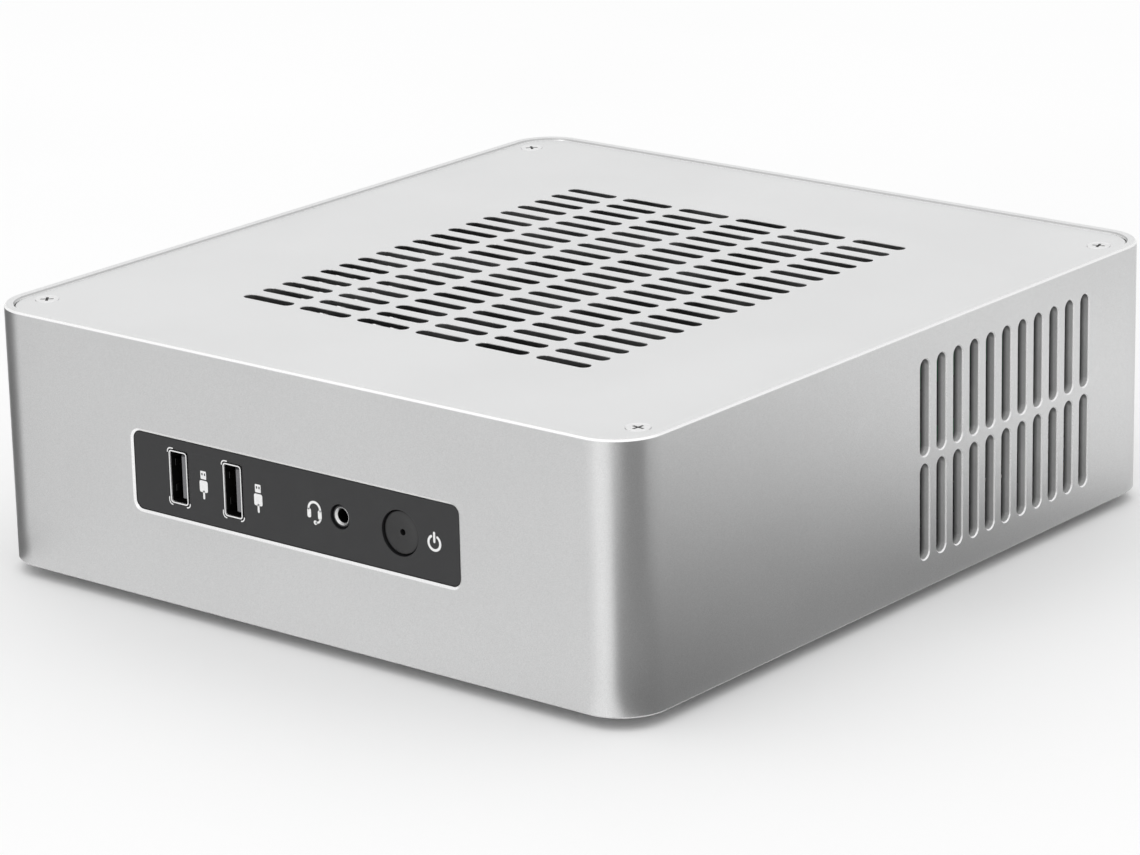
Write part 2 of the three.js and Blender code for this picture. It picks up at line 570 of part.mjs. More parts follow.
// A tongue stands in each data socket, joined to the block behind it.
function rearPorts() {
  const base = boardTop + 0.05;
  PORTS.usb.forEach(({ x, width, height }, i) => {
    const cut = [];
    const join = [];
    for (const z of [base + 4.2, base + 12.2]) {
      cut.push(socket(x, z, 12.6, 5.2, 12));
      join.push(box(x - 5.6, x + 5.6, portFace - 13, portFace - 1, z - 0.2, z + 1.6));
    }
    const hollow = carve(portBlock(x, width, height), { cut });
    place(`rear_usb_stack_${i + 1}`, carve(hollow, { join }), MATERIAL.steel);
  });

  PORTS.video.forEach(({ x, width, height }, i) => {
    const z = base + height / 2;
    const hollow = carve(portBlock(x, width, height), { cut: [socket(x, z, 14, 4.8, 10)] });
    const join = [box(x - 6, x + 6, portFace - 11, portFace - 1.2, z - 0.5, z + 0.5)];
    place(`video_port_${i + 1}`, carve(hollow, { join }), MATERIAL.steel);
  });

  const { lan, audio, dc } = PORTS;
  const lanZ = base + 6.2;
  place('lan_jack', carve(portBlock(lan.x, lan.width, lan.height), {
    cut: [socket(lan.x, lanZ, 11.8, 7, 13), socket(lan.x, lanZ + 4, 6, 3, 13)],
  }), MATERIAL.steel);

  const bores = [6, 17, 28].map((up) =>
    cylinderY(1.8, portFace - 12, portFace + 1, audio.x, base + up, 16));
  place('audio_stack', carve(portBlock(audio.x, audio.width, audio.height), { cut: bores }),
    MATERIAL.blackPlastic);

  const dcZ = base + 5.8;
  const barrel = cylinderY(3.2, portFace - 10, portFace + 1, dc.x, dcZ, 24);
  const hollow = carve(portBlock(dc.x, dc.width, dc.height), { cut: [barrel] });
  const pin = cylinderY(1.05, portFace - 11, portFace - 1.5, dc.x, dcZ, 12);
  place('dc_inlet', carve(hollow, { join: [pin] }), MATERIAL.blackPlastic);

  const r = antennaHole;
  const plug = turned([[0, -2.4], [r + 0.3, -2.0], [r - 0.3, -1.2], [r - 0.3, 0.1], [r + 1, 0.1],
    [r + 1, 0.4], [r + 0.6, 0.6], [0, 0.6]], 14);
  ANTENNAS.forEach(({ x, z }, i) => {
    place(`antenna_plug_${i + 1}`, plug, MATERIAL.rubber, [x, shieldFace, z]);
  });
}

// ---------------------------------------------------------------- the whole computer
surroundFrame();
topLid();
basePlate();
cornerScrews();
rubberFeet();
frontPanel();
frontBoard();
frontUsb('left', FRONT_USB.xs[0]);
frontUsb('right', FRONT_USB.xs[1]);
headsetJack();
powerButton();
frontCable();
mainBoard();
cpuCooler();
memory();
boardFittings();
ioShield();
rearPorts();

export default computer;
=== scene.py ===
import math
import random

import bmesh
import bpy
from mathutils import Matrix, Vector
from mathutils.geometry import tessellate_polygon

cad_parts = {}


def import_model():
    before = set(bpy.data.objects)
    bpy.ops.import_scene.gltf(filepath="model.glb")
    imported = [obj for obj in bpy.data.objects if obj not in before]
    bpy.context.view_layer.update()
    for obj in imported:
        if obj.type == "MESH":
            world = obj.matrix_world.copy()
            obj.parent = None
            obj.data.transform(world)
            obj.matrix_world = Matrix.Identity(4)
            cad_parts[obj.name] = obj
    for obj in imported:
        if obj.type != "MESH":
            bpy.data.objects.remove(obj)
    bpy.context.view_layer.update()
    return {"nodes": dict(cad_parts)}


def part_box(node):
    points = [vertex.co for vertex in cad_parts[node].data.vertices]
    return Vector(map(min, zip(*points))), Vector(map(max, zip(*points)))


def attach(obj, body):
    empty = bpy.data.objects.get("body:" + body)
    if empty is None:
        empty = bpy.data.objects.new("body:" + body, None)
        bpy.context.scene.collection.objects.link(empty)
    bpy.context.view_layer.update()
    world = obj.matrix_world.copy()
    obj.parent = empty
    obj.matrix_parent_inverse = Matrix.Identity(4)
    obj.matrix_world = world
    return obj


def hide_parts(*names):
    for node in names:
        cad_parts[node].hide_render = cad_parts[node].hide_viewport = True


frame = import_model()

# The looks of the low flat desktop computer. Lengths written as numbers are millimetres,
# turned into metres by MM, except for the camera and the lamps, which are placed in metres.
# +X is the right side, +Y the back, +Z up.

MM = 0.001
BAND = 0.314  # the wave texture's bands are this far apart at scale 1
random.seed(11)


def extents(node):
    """(x0, x1, y0, y1, z0, z1) of a CAD node in millimetres."""
    low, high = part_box(node)
    return [value / MM for pair in zip(low, high) for value in pair]


def middle(node):
    x0, x1, y0, y1, z0, z1 = extents(node)
    return (x0 + x1) / 2, (y0 + y1) / 2, (z0 + z1) / 2


# ------------------------------------------------------------------ camera
CAMERA_PLACE = (0.6841, -0.8389, 0.3637)
CAMERA_RIGHT = Vector((0.777256, 0.628809, -0.021742))
CAMERA_FORWARD = Vector((-0.605610, 0.738316, -0.296861))
CAMERA_LENS = 142.99
CAMERA_SENSOR = 36


def make_camera():
    """The photo's camera, solved from the straight edges of the case."""
    camera = bpy.data.objects.new("camera", bpy.data.cameras.new("camera"))
    bpy.context.scene.collection.objects.link(camera)
    forward = CAMERA_FORWARD
    right = (CAMERA_RIGHT - forward * CAMERA_RIGHT.dot(forward)).normalized()
    up = right.cross(forward)
    turn = Matrix((right, up, -forward)).transposed().to_4x4()
    camera.matrix_world = Matrix.Translation(CAMERA_PLACE) @ turn
    camera.data.sensor_width = CAMERA_SENSOR
    camera.data.lens = CAMERA_LENS
    camera.data.clip_start = 0.01
    camera.data.clip_end = 100
    bpy.context.scene.camera = camera


make_camera()


# ------------------------------------------------------------------ shader helpers
class Shader:
    """A Principled material and short ways to add the nodes that feed it."""

    def __init__(self, name, metallic=0.0, **fixed):
        self.material = bpy.data.materials.new(name)
        self.material.use_nodes = True
        self.tree = self.material.node_tree
        self.bsdf = self.tree.nodes["Principled BSDF"]
        self.bsdf.inputs["Metallic"].default_value = metallic
        for socket, value in fixed.items():
            self.bsdf.inputs[socket.replace("_", " ")].default_value = value
        self.coords = self.add("ShaderNodeTexCoord").outputs["Object"]

    def add(self, kind, inputs=(), **settings):
        """A new node, its settings made and its inputs linked or set."""
        node = self.tree.nodes.new(kind)
        for key, value in settings.items():
            setattr(node, key, value)
        for socket, value in dict(inputs).items():
            self.put(node.inputs[socket], value)
        return node

    def put(self, socket, value):
        """Links an output, or sets a plain value."""
        if isinstance(value, bpy.types.NodeSocket):
            self.tree.links.new(value, socket)
        else:
            socket.default_value = value

    def stretched(self, scale):
        return self.add("ShaderNodeMapping", {"Vector": self.coords, "Scale": scale}).outputs["Vector"]

    def noise(self, size, detail=2.0, rough=0.5, vector=None, distortion=0.0):
        """Noise whose features are about size millimetres across."""
        node = self.add("ShaderNodeTexNoise", {
            "Vector": vector or self.coords, "Scale": 1 / (size * MM), "Detail": detail,
            "Roughness": rough, "Distortion": distortion})
        return node.outputs["Fac"]

    def cells(self, size, vector):
        """Distance to the nearest of scattered points about size millimetres apart."""
        node = self.add("ShaderNodeTexVoronoi", {"Vector": vector, "Scale": 1 / (size * MM)})
        return node.outputs["Distance"]

    def waves(self, size, direction="X", distortion=0.0, vector=None):
        inputs = {"Vector": vector or self.coords, "Scale": BAND / (size * MM), "Distortion": distortion}
        return self.add("ShaderNodeTexWave", inputs, bands_direction=direction).outputs["Fac"]

    def fit(self, value, low, high, to_low=0.0, to_high=1.0):
        """The value with low to high stretched to to_low to to_high, and held there."""
        inputs = enumerate((value, low, high, to_low, to_high))
        return self.add("ShaderNodeMapRange", inputs).outputs["Result"]

    def over(self, noise, to_low=0.0, to_high=1.0):
        """Noise, nearly all of it between 0.3 and 0.7, stretched to a range."""
        return self.fit(noise, 0.3, 0.7, to_low, to_high)

    def maths(self, operation, a, b=0.0):
        return self.add("ShaderNodeMath", {0: a, 1: b}, operation=operation).outputs[0]

    def blend(self, factor, first, second):
        inputs = {"Factor": factor, 6: first, 7: second}
        return self.add("ShaderNodeMix", inputs, data_type="RGBA").outputs[2]

    def blend_value(self, factor, first, second):
        inputs = {"Factor": factor, 2: first, 3: second}
        return self.add("ShaderNodeMix", inputs, data_type="FLOAT").outputs[0]

    def scaled(self, colour, factor):
        inputs = {0: colour, "Scale": factor}
        return self.add("ShaderNodeVectorMath", inputs, operation="SCALE").outputs["Vector"]

    def edges(self, width):
        """1 on edges that stick out, 0 on flat faces; width in millimetres."""
        bevel = self.add("ShaderNodeBevel", {"Radius": width * MM}, samples=4)
        plain = self.add("ShaderNodeNewGeometry").outputs["Normal"]
        dot = self.add("ShaderNodeVectorMath", {0: bevel.outputs["Normal"], 1: plain},
                       operation="DOT_PRODUCT")
        return self.fit(dot.outputs["Value"], 0.98, 0.75)

    def bump(self, height, strength, distance, below=None):
        inputs = {"Height": height, "Strength": strength, "Distance": distance * MM}
        if below is not None:
            inputs["Normal"] = below
        return self.add("ShaderNodeBump", inputs).outputs["Normal"]

    def finish(self, colour, roughness, normal=None):
        self.put(self.bsdf.inputs["Base Color"], colour)
        self.put(self.bsdf.inputs["Roughness"], roughness)
        if normal is not None:
            self.put(self.bsdf.inputs["Normal"], normal)
        return self.material


def grey(value):
    return (value, value, value, 1)


def toned(colour, factor):
    """The colour brighter or darker by a factor, with full alpha."""
    return [min(1, c * factor) for c in colour[:3]] + [1]


# ------------------------------------------------------------------ materials
def anodised(name, tone, roughness, grain=0.26):
    """Bead-blasted and clear anodised aluminium: fine pits, faint clouds, handling marks, and edges
    painted paler as a painted edge highlight.
    """
    s = Shader(name, metallic=1.0)
    pits = s.noise(grain, 3, 0.6)
    sparkle = s.noise(grain * 0.55, 1, 0.5)
    clouds = s.noise(45, 3, 0.5)
    marks = s.fit(s.noise(14, 6, 0.62, distortion=0.4), 0.56, 0.72)
    cold = [tone * 0.996, tone * 0.999, tone, 1]
    base = s.blend(s.fit(clouds, 0.35, 0.65), toned(cold, 0.975), cold)
    base = s.blend(s.over(sparkle), s.scaled(base, 0.86), s.scaled(base, 1.10))
    # edges painted paler: a painted edge highlight
    base = s.blend(s.edges(0.5), base, toned(cold, 1.1))
    rough = s.over(pits, roughness - 0.05, roughness + 0.06)
    rough = s.maths("ADD", rough, s.fit(marks, 0, 1, 0.0, -0.035))
    rough = s.maths("ADD", rough, s.over(clouds, -0.015, 0.015))
    normal = s.bump(pits, 0.34, 0.03)
    normal = s.bump(sparkle, 0.22, 0.015, normal)
    return s.finish(base, rough, normal)


def bright_cut(name, tone, roughness):
    """A machined edge: brighter than the blasted faces, with fine tool lines."""
    s = Shader(name, metallic=0.55)
    lines = s.noise(0.12, 2, 0.6, s.stretched((1, 1, 6)))
    base = s.blend(s.over(lines), grey(tone * 0.93), grey(min(1, tone)))
    return s.finish(base, s.over(lines, roughness, roughness + 0.08), s.bump(lines, 0.2, 0.01))


def raw_wall(name, low, high, metallic, size=0.35, painted_shade_depths=None):
    """The milled wall of a slot, duller than the outside, with chatter and uneven tone.

    The painted-shade range, if given, is a range of distances from the middle of the case over
    which painted shade darkens the wall inwards, nearly black at the inner end; with it, the ends
    that face down get painted shade too. Very dark tones, as for the lid's slots, make the whole
    wall painted shade."""
    s = Shader(name, metallic=metallic)
    chatter = s.noise(size, 3, 0.6, s.stretched((1.6, 1.6, 0.5)))
    shade = s.fit(s.noise(22, 2, 0.5), 0.42, 0.62)
    base = s.blend(shade, grey(low), grey(high))
    base = s.blend(s.over(chatter, 0, 0.3), base, grey(low * 0.6))
    if painted_shade_depths:
        split = s.add("ShaderNodeSeparateXYZ", {0: s.coords})
        out = s.maths("ABSOLUTE", split.outputs["X"])
        # painted shade: the wall darkens inwards to nearly black
        base = s.blend(s.fit(out, painted_shade_depths[0] * MM, painted_shade_depths[1] * MM), grey(low * 0.05), base)
        # painted shade on the ends that face down
        normal_for_painted_shade = s.add("ShaderNodeSeparateXYZ", {0: s.add("ShaderNodeTexCoord").outputs["Normal"]})
        base = s.blend(s.fit(normal_for_painted_shade.outputs["Z"], -0.7, 0.1), grey(low * 0.2), base)
    return s.finish(base, s.over(chatter, 0.42, 0.56), s.bump(chatter, 0.3, 0.02))


def plated(name, tone, roughness, tint=(1, 1, 1), stretch=(1, 1, 1), size=0.3):
    """Plated or rolled sheet metal with fine streaks and a few dull patches."""
    s = Shader(name, metallic=1.0)
    streaks = s.noise(size, 4, 0.6, s.stretched(stretch))
    patches = s.noise(9, 2, 0.5)
    low, high = toned(tint, tone * 0.86), toned(tint, tone)
    base = s.blend(s.over(streaks), low, high)
    base = s.blend(s.fit(patches, 0.5, 0.8, 0, 0.25), base, toned(low, 0.8))
    rough = s.maths("ADD", s.over(streaks, roughness - 0.05, roughness + 0.08),
                    s.fit(patches, 0.4, 0.8, 0, 0.08))
    return s.finish(base, rough, s.bump(streaks, 0.18, 0.012))


def moulded(name, colour, roughness, grain=0.25, depth=0.02, strength=0.3, dust=0.05, **fixed):
    """Moulded plastic or rubber with a fine spark-eroded texture, rubbed paler on its edges."""
    s = Shader(name, **fixed)
    texture = s.noise(grain, 3, 0.6)
    clouds = s.noise(9, 4, 0.55)
    specks = s.fit(s.noise(0.7, 2, 0.5), 0.66, 0.74)
    dark, light = toned(colour, 0.88), toned(colour, 1.10)
    dusty = [min(1, c + dust) for c in colour] + [1]
    base = s.blend(s.over(texture), dark, light)
    base = s.blend(s.fit(clouds, 0.5, 0.8, 0, 0.25), base, dusty)
    base = s.blend(s.maths("MULTIPLY", specks, 0.18), base, dusty)
    base = s.blend(s.maths("MULTIPLY", s.edges(0.25), 0.5), base, dusty)
    rough = s.maths("ADD", s.over(texture, roughness - 0.05, roughness + 0.05),
                    s.over(clouds, -0.03, 0.03))
    return s.finish(base, rough, s.bump(texture, strength, depth))


def circuit_board(name, mask, track):
    """Solder resist over copper: a maze of tracks, with bare dots where the vias are."""
    s = Shader(name)
    flat = s.stretched((1, 1, 0.2))
    across = s.fit(s.waves(1.1, "X", 0.0, flat), 0.62, 0.7)
    along = s.fit(s.waves(1.3, "Y", 0.0, flat), 0.62, 0.7)
    areas = s.fit(s.noise(9, 0, 0.5, flat), 0.49, 0.51)
    gaps = s.fit(s.noise(6, 1, 0.5, flat), 0.42, 0.46)
    tracks = s.maths("MULTIPLY", s.blend_value(areas, across, along), gaps)
    vias = s.fit(s.cells(3.1, flat), 0.13, 0.10)
    rings = s.fit(s.cells(3.1, flat), 0.20, 0.17)
    weave = s.noise(0.5, 2, 0.5)
    base = s.blend(tracks, toned(mask, 0.8), list(track) + [1])
    base = s.blend(rings, base, (0.55, 0.50, 0.36, 1))
    base = s.blend(vias, base, grey(0.02))
    rough = s.over(weave, 0.30, 0.42)
    height = s.maths("ADD", s.maths("MULTIPLY", tracks, 0.6), s.maths("MULTIPLY", rings, 0.4))
    normal = s.bump(height, 0.5, 0.04)
    return s.finish(base, rough, s.bump(weave, 0.12, 0.01, normal))


def braided(name, colour):
    """A woven cable sleeve: two sets of strands crossing, painted darker in the gaps between the strands
    as painted shade and paler on their crowns as painted sheen.
    """
    s = Shader(name)
    one = s.waves(0.9, "DIAGONAL", 0.4)
    other = s.waves(0.9, "DIAGONAL", 0.4, s.stretched((-1, 1, 1)))
    strands = s.maths("MAXIMUM", one, other)
    # painted shade in the gaps, painted sheen on the crowns
    base = s.blend(strands, toned(colour, 0.4), toned(colour, 1.5))
    return s.finish(base, s.fit(strands, 0, 1, 0.75, 0.5), s.bump(strands, 0.8, 0.15))


def print_ink(name, tone):
    """Screen printed ink: nearly even, a little thin in places."""
    s = Shader(name)
    thin = s.noise(0.5, 3, 0.6)
    base = s.blend(s.fit(thin, 0.35, 0.65), grey(tone * 0.9), grey(tone))
    return s.finish(base, s.over(thin, 0.5, 0.62), s.bump(thin, 0.2, 0.01))


LOOK = {
    # One anodised aluminium in three tones: the case's sides darker as painted shade, the lid and the top
    # of the surround paler as painted light.
    "case": anodised("anodised_case_painted_shade", 0.60, 0.36),
    "lid": anodised("anodised_lid_painted_light", 0.82, 0.46),
    "rim": anodised("anodised_rim_painted_light", 0.83, 0.44),
    "bright": bright_cut("machined_chamfer", 0.97, 0.22),
    # the side vents' walls, with painted shade darkening them inwards and on the ends that face down
    "wall": raw_wall("milled_slot_wall_painted_shade", 0.74, 0.90, 0.25, painted_shade_depths=(97.3, 98.7)),
    # the lid's slot walls nearly black: painted shade standing for the dark inside of the case, its uneven
    # tone a painted variation of that shade
    "lid_slot_painted_shade": raw_wall("punched_slot_wall_painted_shade", 0.015, 0.10, 0.3),
    "screw": plated("plated_screw", 0.95, 0.30, size=0.5),
    # darker than the screw heads: painted shade in the cross cut into each head
    "painted_recess_shade": plated("screw_recess_painted_shade", 0.30, 0.5, size=0.3),
    "port": plated("tinned_shell", 0.92, 0.32, stretch=(1, 0.2, 1)),
    # nearly black: painted shade inside the port shells, the jack's bore and the socket springs
    "hollow": plated("shell_inside_painted_shade", 0.045, 0.42, stretch=(1, 0.2, 1)),
    "shield": plated("rolled_shield", 0.50, 0.27, stretch=(0.12, 1, 1)),
    "tin": plated("tinned_block", 0.76, 0.30, stretch=(1, 1, 0.2)),
    "gold": plated("gold_contact", 0.9, 0.25, tint=(1.0, 0.76, 0.38), size=0.2),
    "brass": plated("machined_brass", 0.82, 0.3, tint=(1.0, 0.80, 0.45), stretch=(1, 1, 6)),
    "fins": plated("extruded_fins", 0.78, 0.34, stretch=(1, 0.08, 1), size=0.4),
    "panel": moulded("panel_plastic", (0.011, 0.0112, 0.0122), 0.50, grain=0.2, dust=0.02),
    "button": moulded("button_plastic", (0.012, 0.012, 0.0125), 0.46, grain=0.25, dust=0.02),
    "lens": moulded("smoked_lens", (0.002, 0.002, 0.0025), 0.35, grain=0.6, strength=0.05, dust=0.0),
    "black": moulded("black_moulding", (0.022, 0.022, 0.024), 0.45, grain=0.3),
    "tongue": moulded("contact_carrier", (0.15, 0.15, 0.158), 0.35, grain=0.4, strength=0.15),
    "blue": moulded("blue_carrier", (0.02, 0.10, 0.42), 0.4, grain=0.3, strength=0.15),
    "lime": moulded("lime_ring", (0.30, 0.55, 0.10), 0.4, grain=0.3, strength=0.15),
    "pink": moulded("pink_ring", (0.70, 0.22, 0.32), 0.4, grain=0.3, strength=0.15),
    "amber": moulded("amber_lamp", (0.75, 0.42, 0.06), 0.2, grain=0.5, strength=0.05),
    "choke": moulded("choke_casting", (0.14, 0.14, 0.145), 0.5, grain=0.25),
    "cream": moulded("pale_moulding", (0.66, 0.64, 0.58), 0.5, grain=0.3),
    "rubber": moulded("foot_rubber", (0.022, 0.022, 0.023), 0.8, grain=0.35, depth=0.05, strength=0.5),
    "fan": moulded("fan_plastic", (0.016, 0.016, 0.018), 0.38, grain=0.5),
    "epoxy": moulded("chip_epoxy", (0.02, 0.02, 0.021), 0.55, grain=0.15, depth=0.015),
    "green": circuit_board("green_board", (0.010, 0.085, 0.040), (0.022, 0.16, 0.075)),
    "dark": circuit_board("black_board", (0.012, 0.014, 0.016), (0.035, 0.038, 0.042)),
    "sleeve": braided("cable_sleeve", (0.03, 0.03, 0.032)),
    "ink": print_ink("white_ink", 0.86),
}


dict.fromkeys(("tongue", "epoxy", "cream", "choke"), "switch_plastic")
dict.fromkeys(
    ("port", "hollow", "gold", "tin", "blue", "lime", "amber", "shield"), "port_steel")


# ------------------------------------------------------------------ mesh helpers
def polar(cx, cy, radius, angle):
    return cx + radius * math.cos(angle), cy + radius * math.sin(angle)


def rect(width, height, radius, cx=0.0, cy=0.0, steps=10):
    """Outline of a rounded rectangle; grow widens it all round."""
    def points(grow=0.0, _height=0.0):
        r = max(radius + grow, 0.02)
        x, y = width / 2 + grow - r, height / 2 + grow - r
        corners = ((x, -y, -90), (x, y, 0), (-x, y, 90), (-x, -y, 180))
        return [polar(cx + px, cy + py, r, math.radians(start + 90 * i / steps))
                for px, py, start in corners for i in range(steps + 1)]
    return points


def rect_between(u0, u1, v0, v1, radius, steps=10):
    return rect(u1 - u0, v1 - v0, radius, (u0 + u1) / 2, (v0 + v1) / 2, steps=steps)


def slot(long, wide, cx, cy, upright=False, steps=10):
    """Outline of a slot with round ends."""
    size = (wide, long) if upright else (long, wide)
    return rect(*size, wide / 2 - 0.001, cx, cy, steps)


def circle(radius, cx=0.0, cy=0.0, steps=48):
    def points(grow=0.0, _height=0.0):
        return [polar(cx, cy, radius + grow, 2 * math.pi * i / steps) for i in range(steps)]
    return points


def polygon(points, cx=0.0, cy=0.0):
    """Outline from corner points, anticlockwise; grow moves each side outwards."""
    def outline(grow=0.0, _height=0.0):
        moved = []
        for before, point, after in zip(points[-1:] + points[:-1], points, points[1:] + points[:1]):
            one = (Vector(point) - Vector(before)).normalized()
            two = (Vector(after) - Vector(point)).normalized()
            side, other = Vector((one.y, -one.x)), Vector((two.y, -two.x))
            step = (side + other) / (1 + side.dot(other)) * grow
            moved.append((cx + point[0] + step.x, cy + point[1] + step.y))
        return moved
    return outline


def cone(profile, cx, cy, steps=48):
    """A round hole whose radius depends on the height: profile maps height to radius."""
    def points(_grow=0.0, height=0.0):
        return circle(profile(height), cx, cy, steps)()
    return points


TURN = {"Z": lambda u, v, w: (u, v, w), "Y": lambda u, v, w: (u, w, v), "X": lambda u, v, w: (w, u, v)}


def stack(outer, levels, holes=(), axis="Z", skins=None, caps=(0, 0)):
    """A closed solid from outlines set above each other.

    levels are (outer inset, hole widening, height). skins gives the material index of the band
    above each level, for the outside and for the holes, and caps that of the two flat ends."""
    bm = bmesh.new()
    turn = TURN[axis]
    place = lambda u, v, w: bm.verts.new([c * MM for c in turn(u, v, w)])
    rings = []
    for inset, widen, height in levels:
        loops = [outer(-inset, height)] + [hole(widen, height) for hole in holes]
        rings.append([[place(u, v, height) for u, v in loop] for loop in loops])
    for level, (low, high) in enumerate(zip(rings, rings[1:])):
        for which, (a, b) in enumerate(zip(low, high)):
            for i in range(len(a)):
                face = bm.faces.new((a[i - 1], a[i], b[i], b[i - 1]))
                if skins:
                    face.material_index = skins[level][1 if which else 0]
    for ring, skin in zip((rings[0], rings[-1]), caps):
        flat = [[Vector(turn_back(axis, v.co)) for v in loop] for loop in ring]
        verts = [v for loop in ring for v in loop]
        for tri in tessellate_polygon(flat):
            bm.faces.new([verts[i] for i in tri]).material_index = skin
    return mesh_of(bm)


def turn_back(axis, co):
    order = {"Z": (0, 1), "Y": (0, 2), "X": (1, 2)}[axis]
    return (co[order[0]], co[order[1]], 0)


def mesh_of(bm):
    bmesh.ops.remove_doubles(bm, verts=bm.verts, dist=1e-7)
    bmesh.ops.recalc_face_normals(bm, faces=bm.faces)
    mesh = bpy.data.meshes.new("mesh")
    bm.to_mesh(mesh)
    bm.free()
    return mesh


def turned(profile, axis="Z", at=(0, 0, 0), steps=64):
    """A turned solid: profile is a list of (radius, height), closed on the axis at both ends."""
    bm = bmesh.new()
    turn = TURN[axis]

    def vert(r, h, angle):
        u, v, w = turn(r * math.cos(angle), r * math.sin(angle), h)
        return bm.verts.new(((at[0] + u) * MM, (at[1] + v) * MM, (at[2] + w) * MM))

    rings = [[vert(r, h, 2 * math.pi * i / steps) for i in range(steps)] if r > 0 else [vert(0, h, 0)]
             for r, h in profile]
    for a, b in zip(rings, rings[1:]):
        for i in range(steps):
            bm.faces.new([a[i - 1], a[i], b[i], b[i - 1]] if len(a) > 1 and len(b) > 1 else
                         [a[0], b[i], b[i - 1]] if len(a) == 1 else [a[i - 1], a[i], b[0]])
    return mesh_of(bm)


def block(low, high, radius=0.3, axis="Z", bevel=None):
    """A box with rounded upright edges and eased ends."""
    order = {"Z": (0, 1, 2), "Y": (0, 2, 1), "X": (1, 2, 0)}[axis]
    (u0, u1), (v0, v1), (w0, w1) = [(low[i], high[i]) for i in order]
    b = bevel if bevel is not None else min(radius, (w1 - w0) / 3)
    outline = rect_between(u0, u1, v0, v1, radius, 4)
    return stack(outline, [(b, 0, w0), (0, 0, w0 + b), (0, 0, w1 - b), (b, 0, w1)], axis=axis)


def shifted(mesh, dx, dy, dz):
    mesh.transform(Matrix.Translation((dx * MM, dy * MM, dz * MM)))
    return mesh


SKINS = [bpy.data.materials.new(f"skin_{i}") for i in range(4)]


def with_materials(mesh, materials):
    """Sets the mesh's materials and keeps the material index of each face."""
    indices = [face.material_index for face in mesh.polygons]
    mesh.materials.clear()
    for material in materials:
        mesh.materials.append(material)
    mesh.polygons.foreach_set("material_index", indices)
    return mesh


def joined(meshes):
    """One mesh from several; material indices are kept."""
    bm = bmesh.new()
    for mesh in meshes:
        bm.from_mesh(mesh)
    result = bpy.data.meshes.new("joined")
    bm.to_mesh(result)
    bm.free()
    return result


def cut(mesh, cutters):
    """The mesh with the cutters taken from it."""
    base = bpy.data.objects.new("cut_base", with_materials(mesh, SKINS))
    tool = bpy.data.objects.new("cut_tool", with_materials(joined(cutters), SKINS))
    for item in (base, tool):
        bpy.context.scene.collection.objects.link(item)
    step = base.modifiers.new("cut", "BOOLEAN")
    step.operation = "DIFFERENCE"
    step.solver = "EXACT"
    step.object = tool
    step.use_self = len(cutters) > 1
    graph = bpy.context.evaluated_depsgraph_get()
    result = bpy.data.meshes.new_from_object(base.evaluated_get(graph))
    order = [SKINS.index(skin) for skin in result.materials]
    for face in result.polygons:
        face.material_index = order[face.material_index]
    for item in (base, tool):
        bpy.data.objects.remove(item)
    return result


def show(name, mesh, looks, body="case", nodes=(), angle=32):
    """Makes a piece from a mesh, or from several joined: its materials, shading and body, and hides
    the CAD nodes it stands for."""
    if isinstance(mesh, list):
        mesh = joined(mesh)
    looks = looks if isinstance(looks, list) else [looks]
    with_materials(mesh, [LOOK[look] for look in looks])
    mesh.shade_smooth()
    mesh.set_sharp_from_angle(angle=math.radians(angle))
    piece = bpy.data.objects.new(name, mesh)
    bpy.context.scene.collection.objects.link(piece)
    weighted = piece.modifiers.new("weighted", "WEIGHTED_NORMAL")
    weighted.keep_sharp = True
    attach(piece, body)
    if nodes:
        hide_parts(*nodes)


# ------------------------------------------------------------------ measures taken from the frame
X0, X1, Y0, Y1, BODY_LOW, BODY_TOP = extents("surround_frame")
WIDTH, DEPTH = X1 - X0, Y1 - Y0
CORNER_RADIUS = 12.5
WALL = 2.5
LID_LOW, LID_TOP = extents("top_lid")[4:]
BASE_LOW, BASE_TOP = extents("base_plate")[4:]
SCREW_X, SCREW_Y = middle("lid_screw_front_right")[0], middle("lid_screw_rear_right")[1]
BOARD_TOP = extents("main_board")[5]
CORNERS = {"front_left": (-1, -1), "front_right": (1, -1), "rear_left": (-1, 1), "rear_right": (1, 1)}

TOP_SLOT = {"long": 15.6, "wide": 3.6, "pitch_x": 18.5, "pitch_y": 7.0, "columns": 6, "rows": 19}
SIDE_SLOT = {"long": 24.0, "wide": 3.9, "pitch_y": 6.92, "pitch_z": 25.9, "columns": 11, "rows": 2}
SIDE_SLOTS_Y = 40.4
SIDE_SLOTS_Z = 32.4


def grid(count, pitch, centre=0.0):
    return [centre + (i - (count - 1) / 2) * pitch for i in range(count)]


# ------------------------------------------------------------------ the case
def opening(outline, face, side, axis, ease=0.3, depth=0.3, flare=0.8):
    """A cutter through a wall, with a bright bevel at the outside; side is the way the face looks."""
    steps = [(0, 0, face - side * 4), (0, 0, face - side * depth), (-ease, 0, face),
             (-flare, 0, face + side * 0.5)]
    return stack(outline, steps, axis=axis, skins=[(2, 2), (1, 1), (1, 1)])


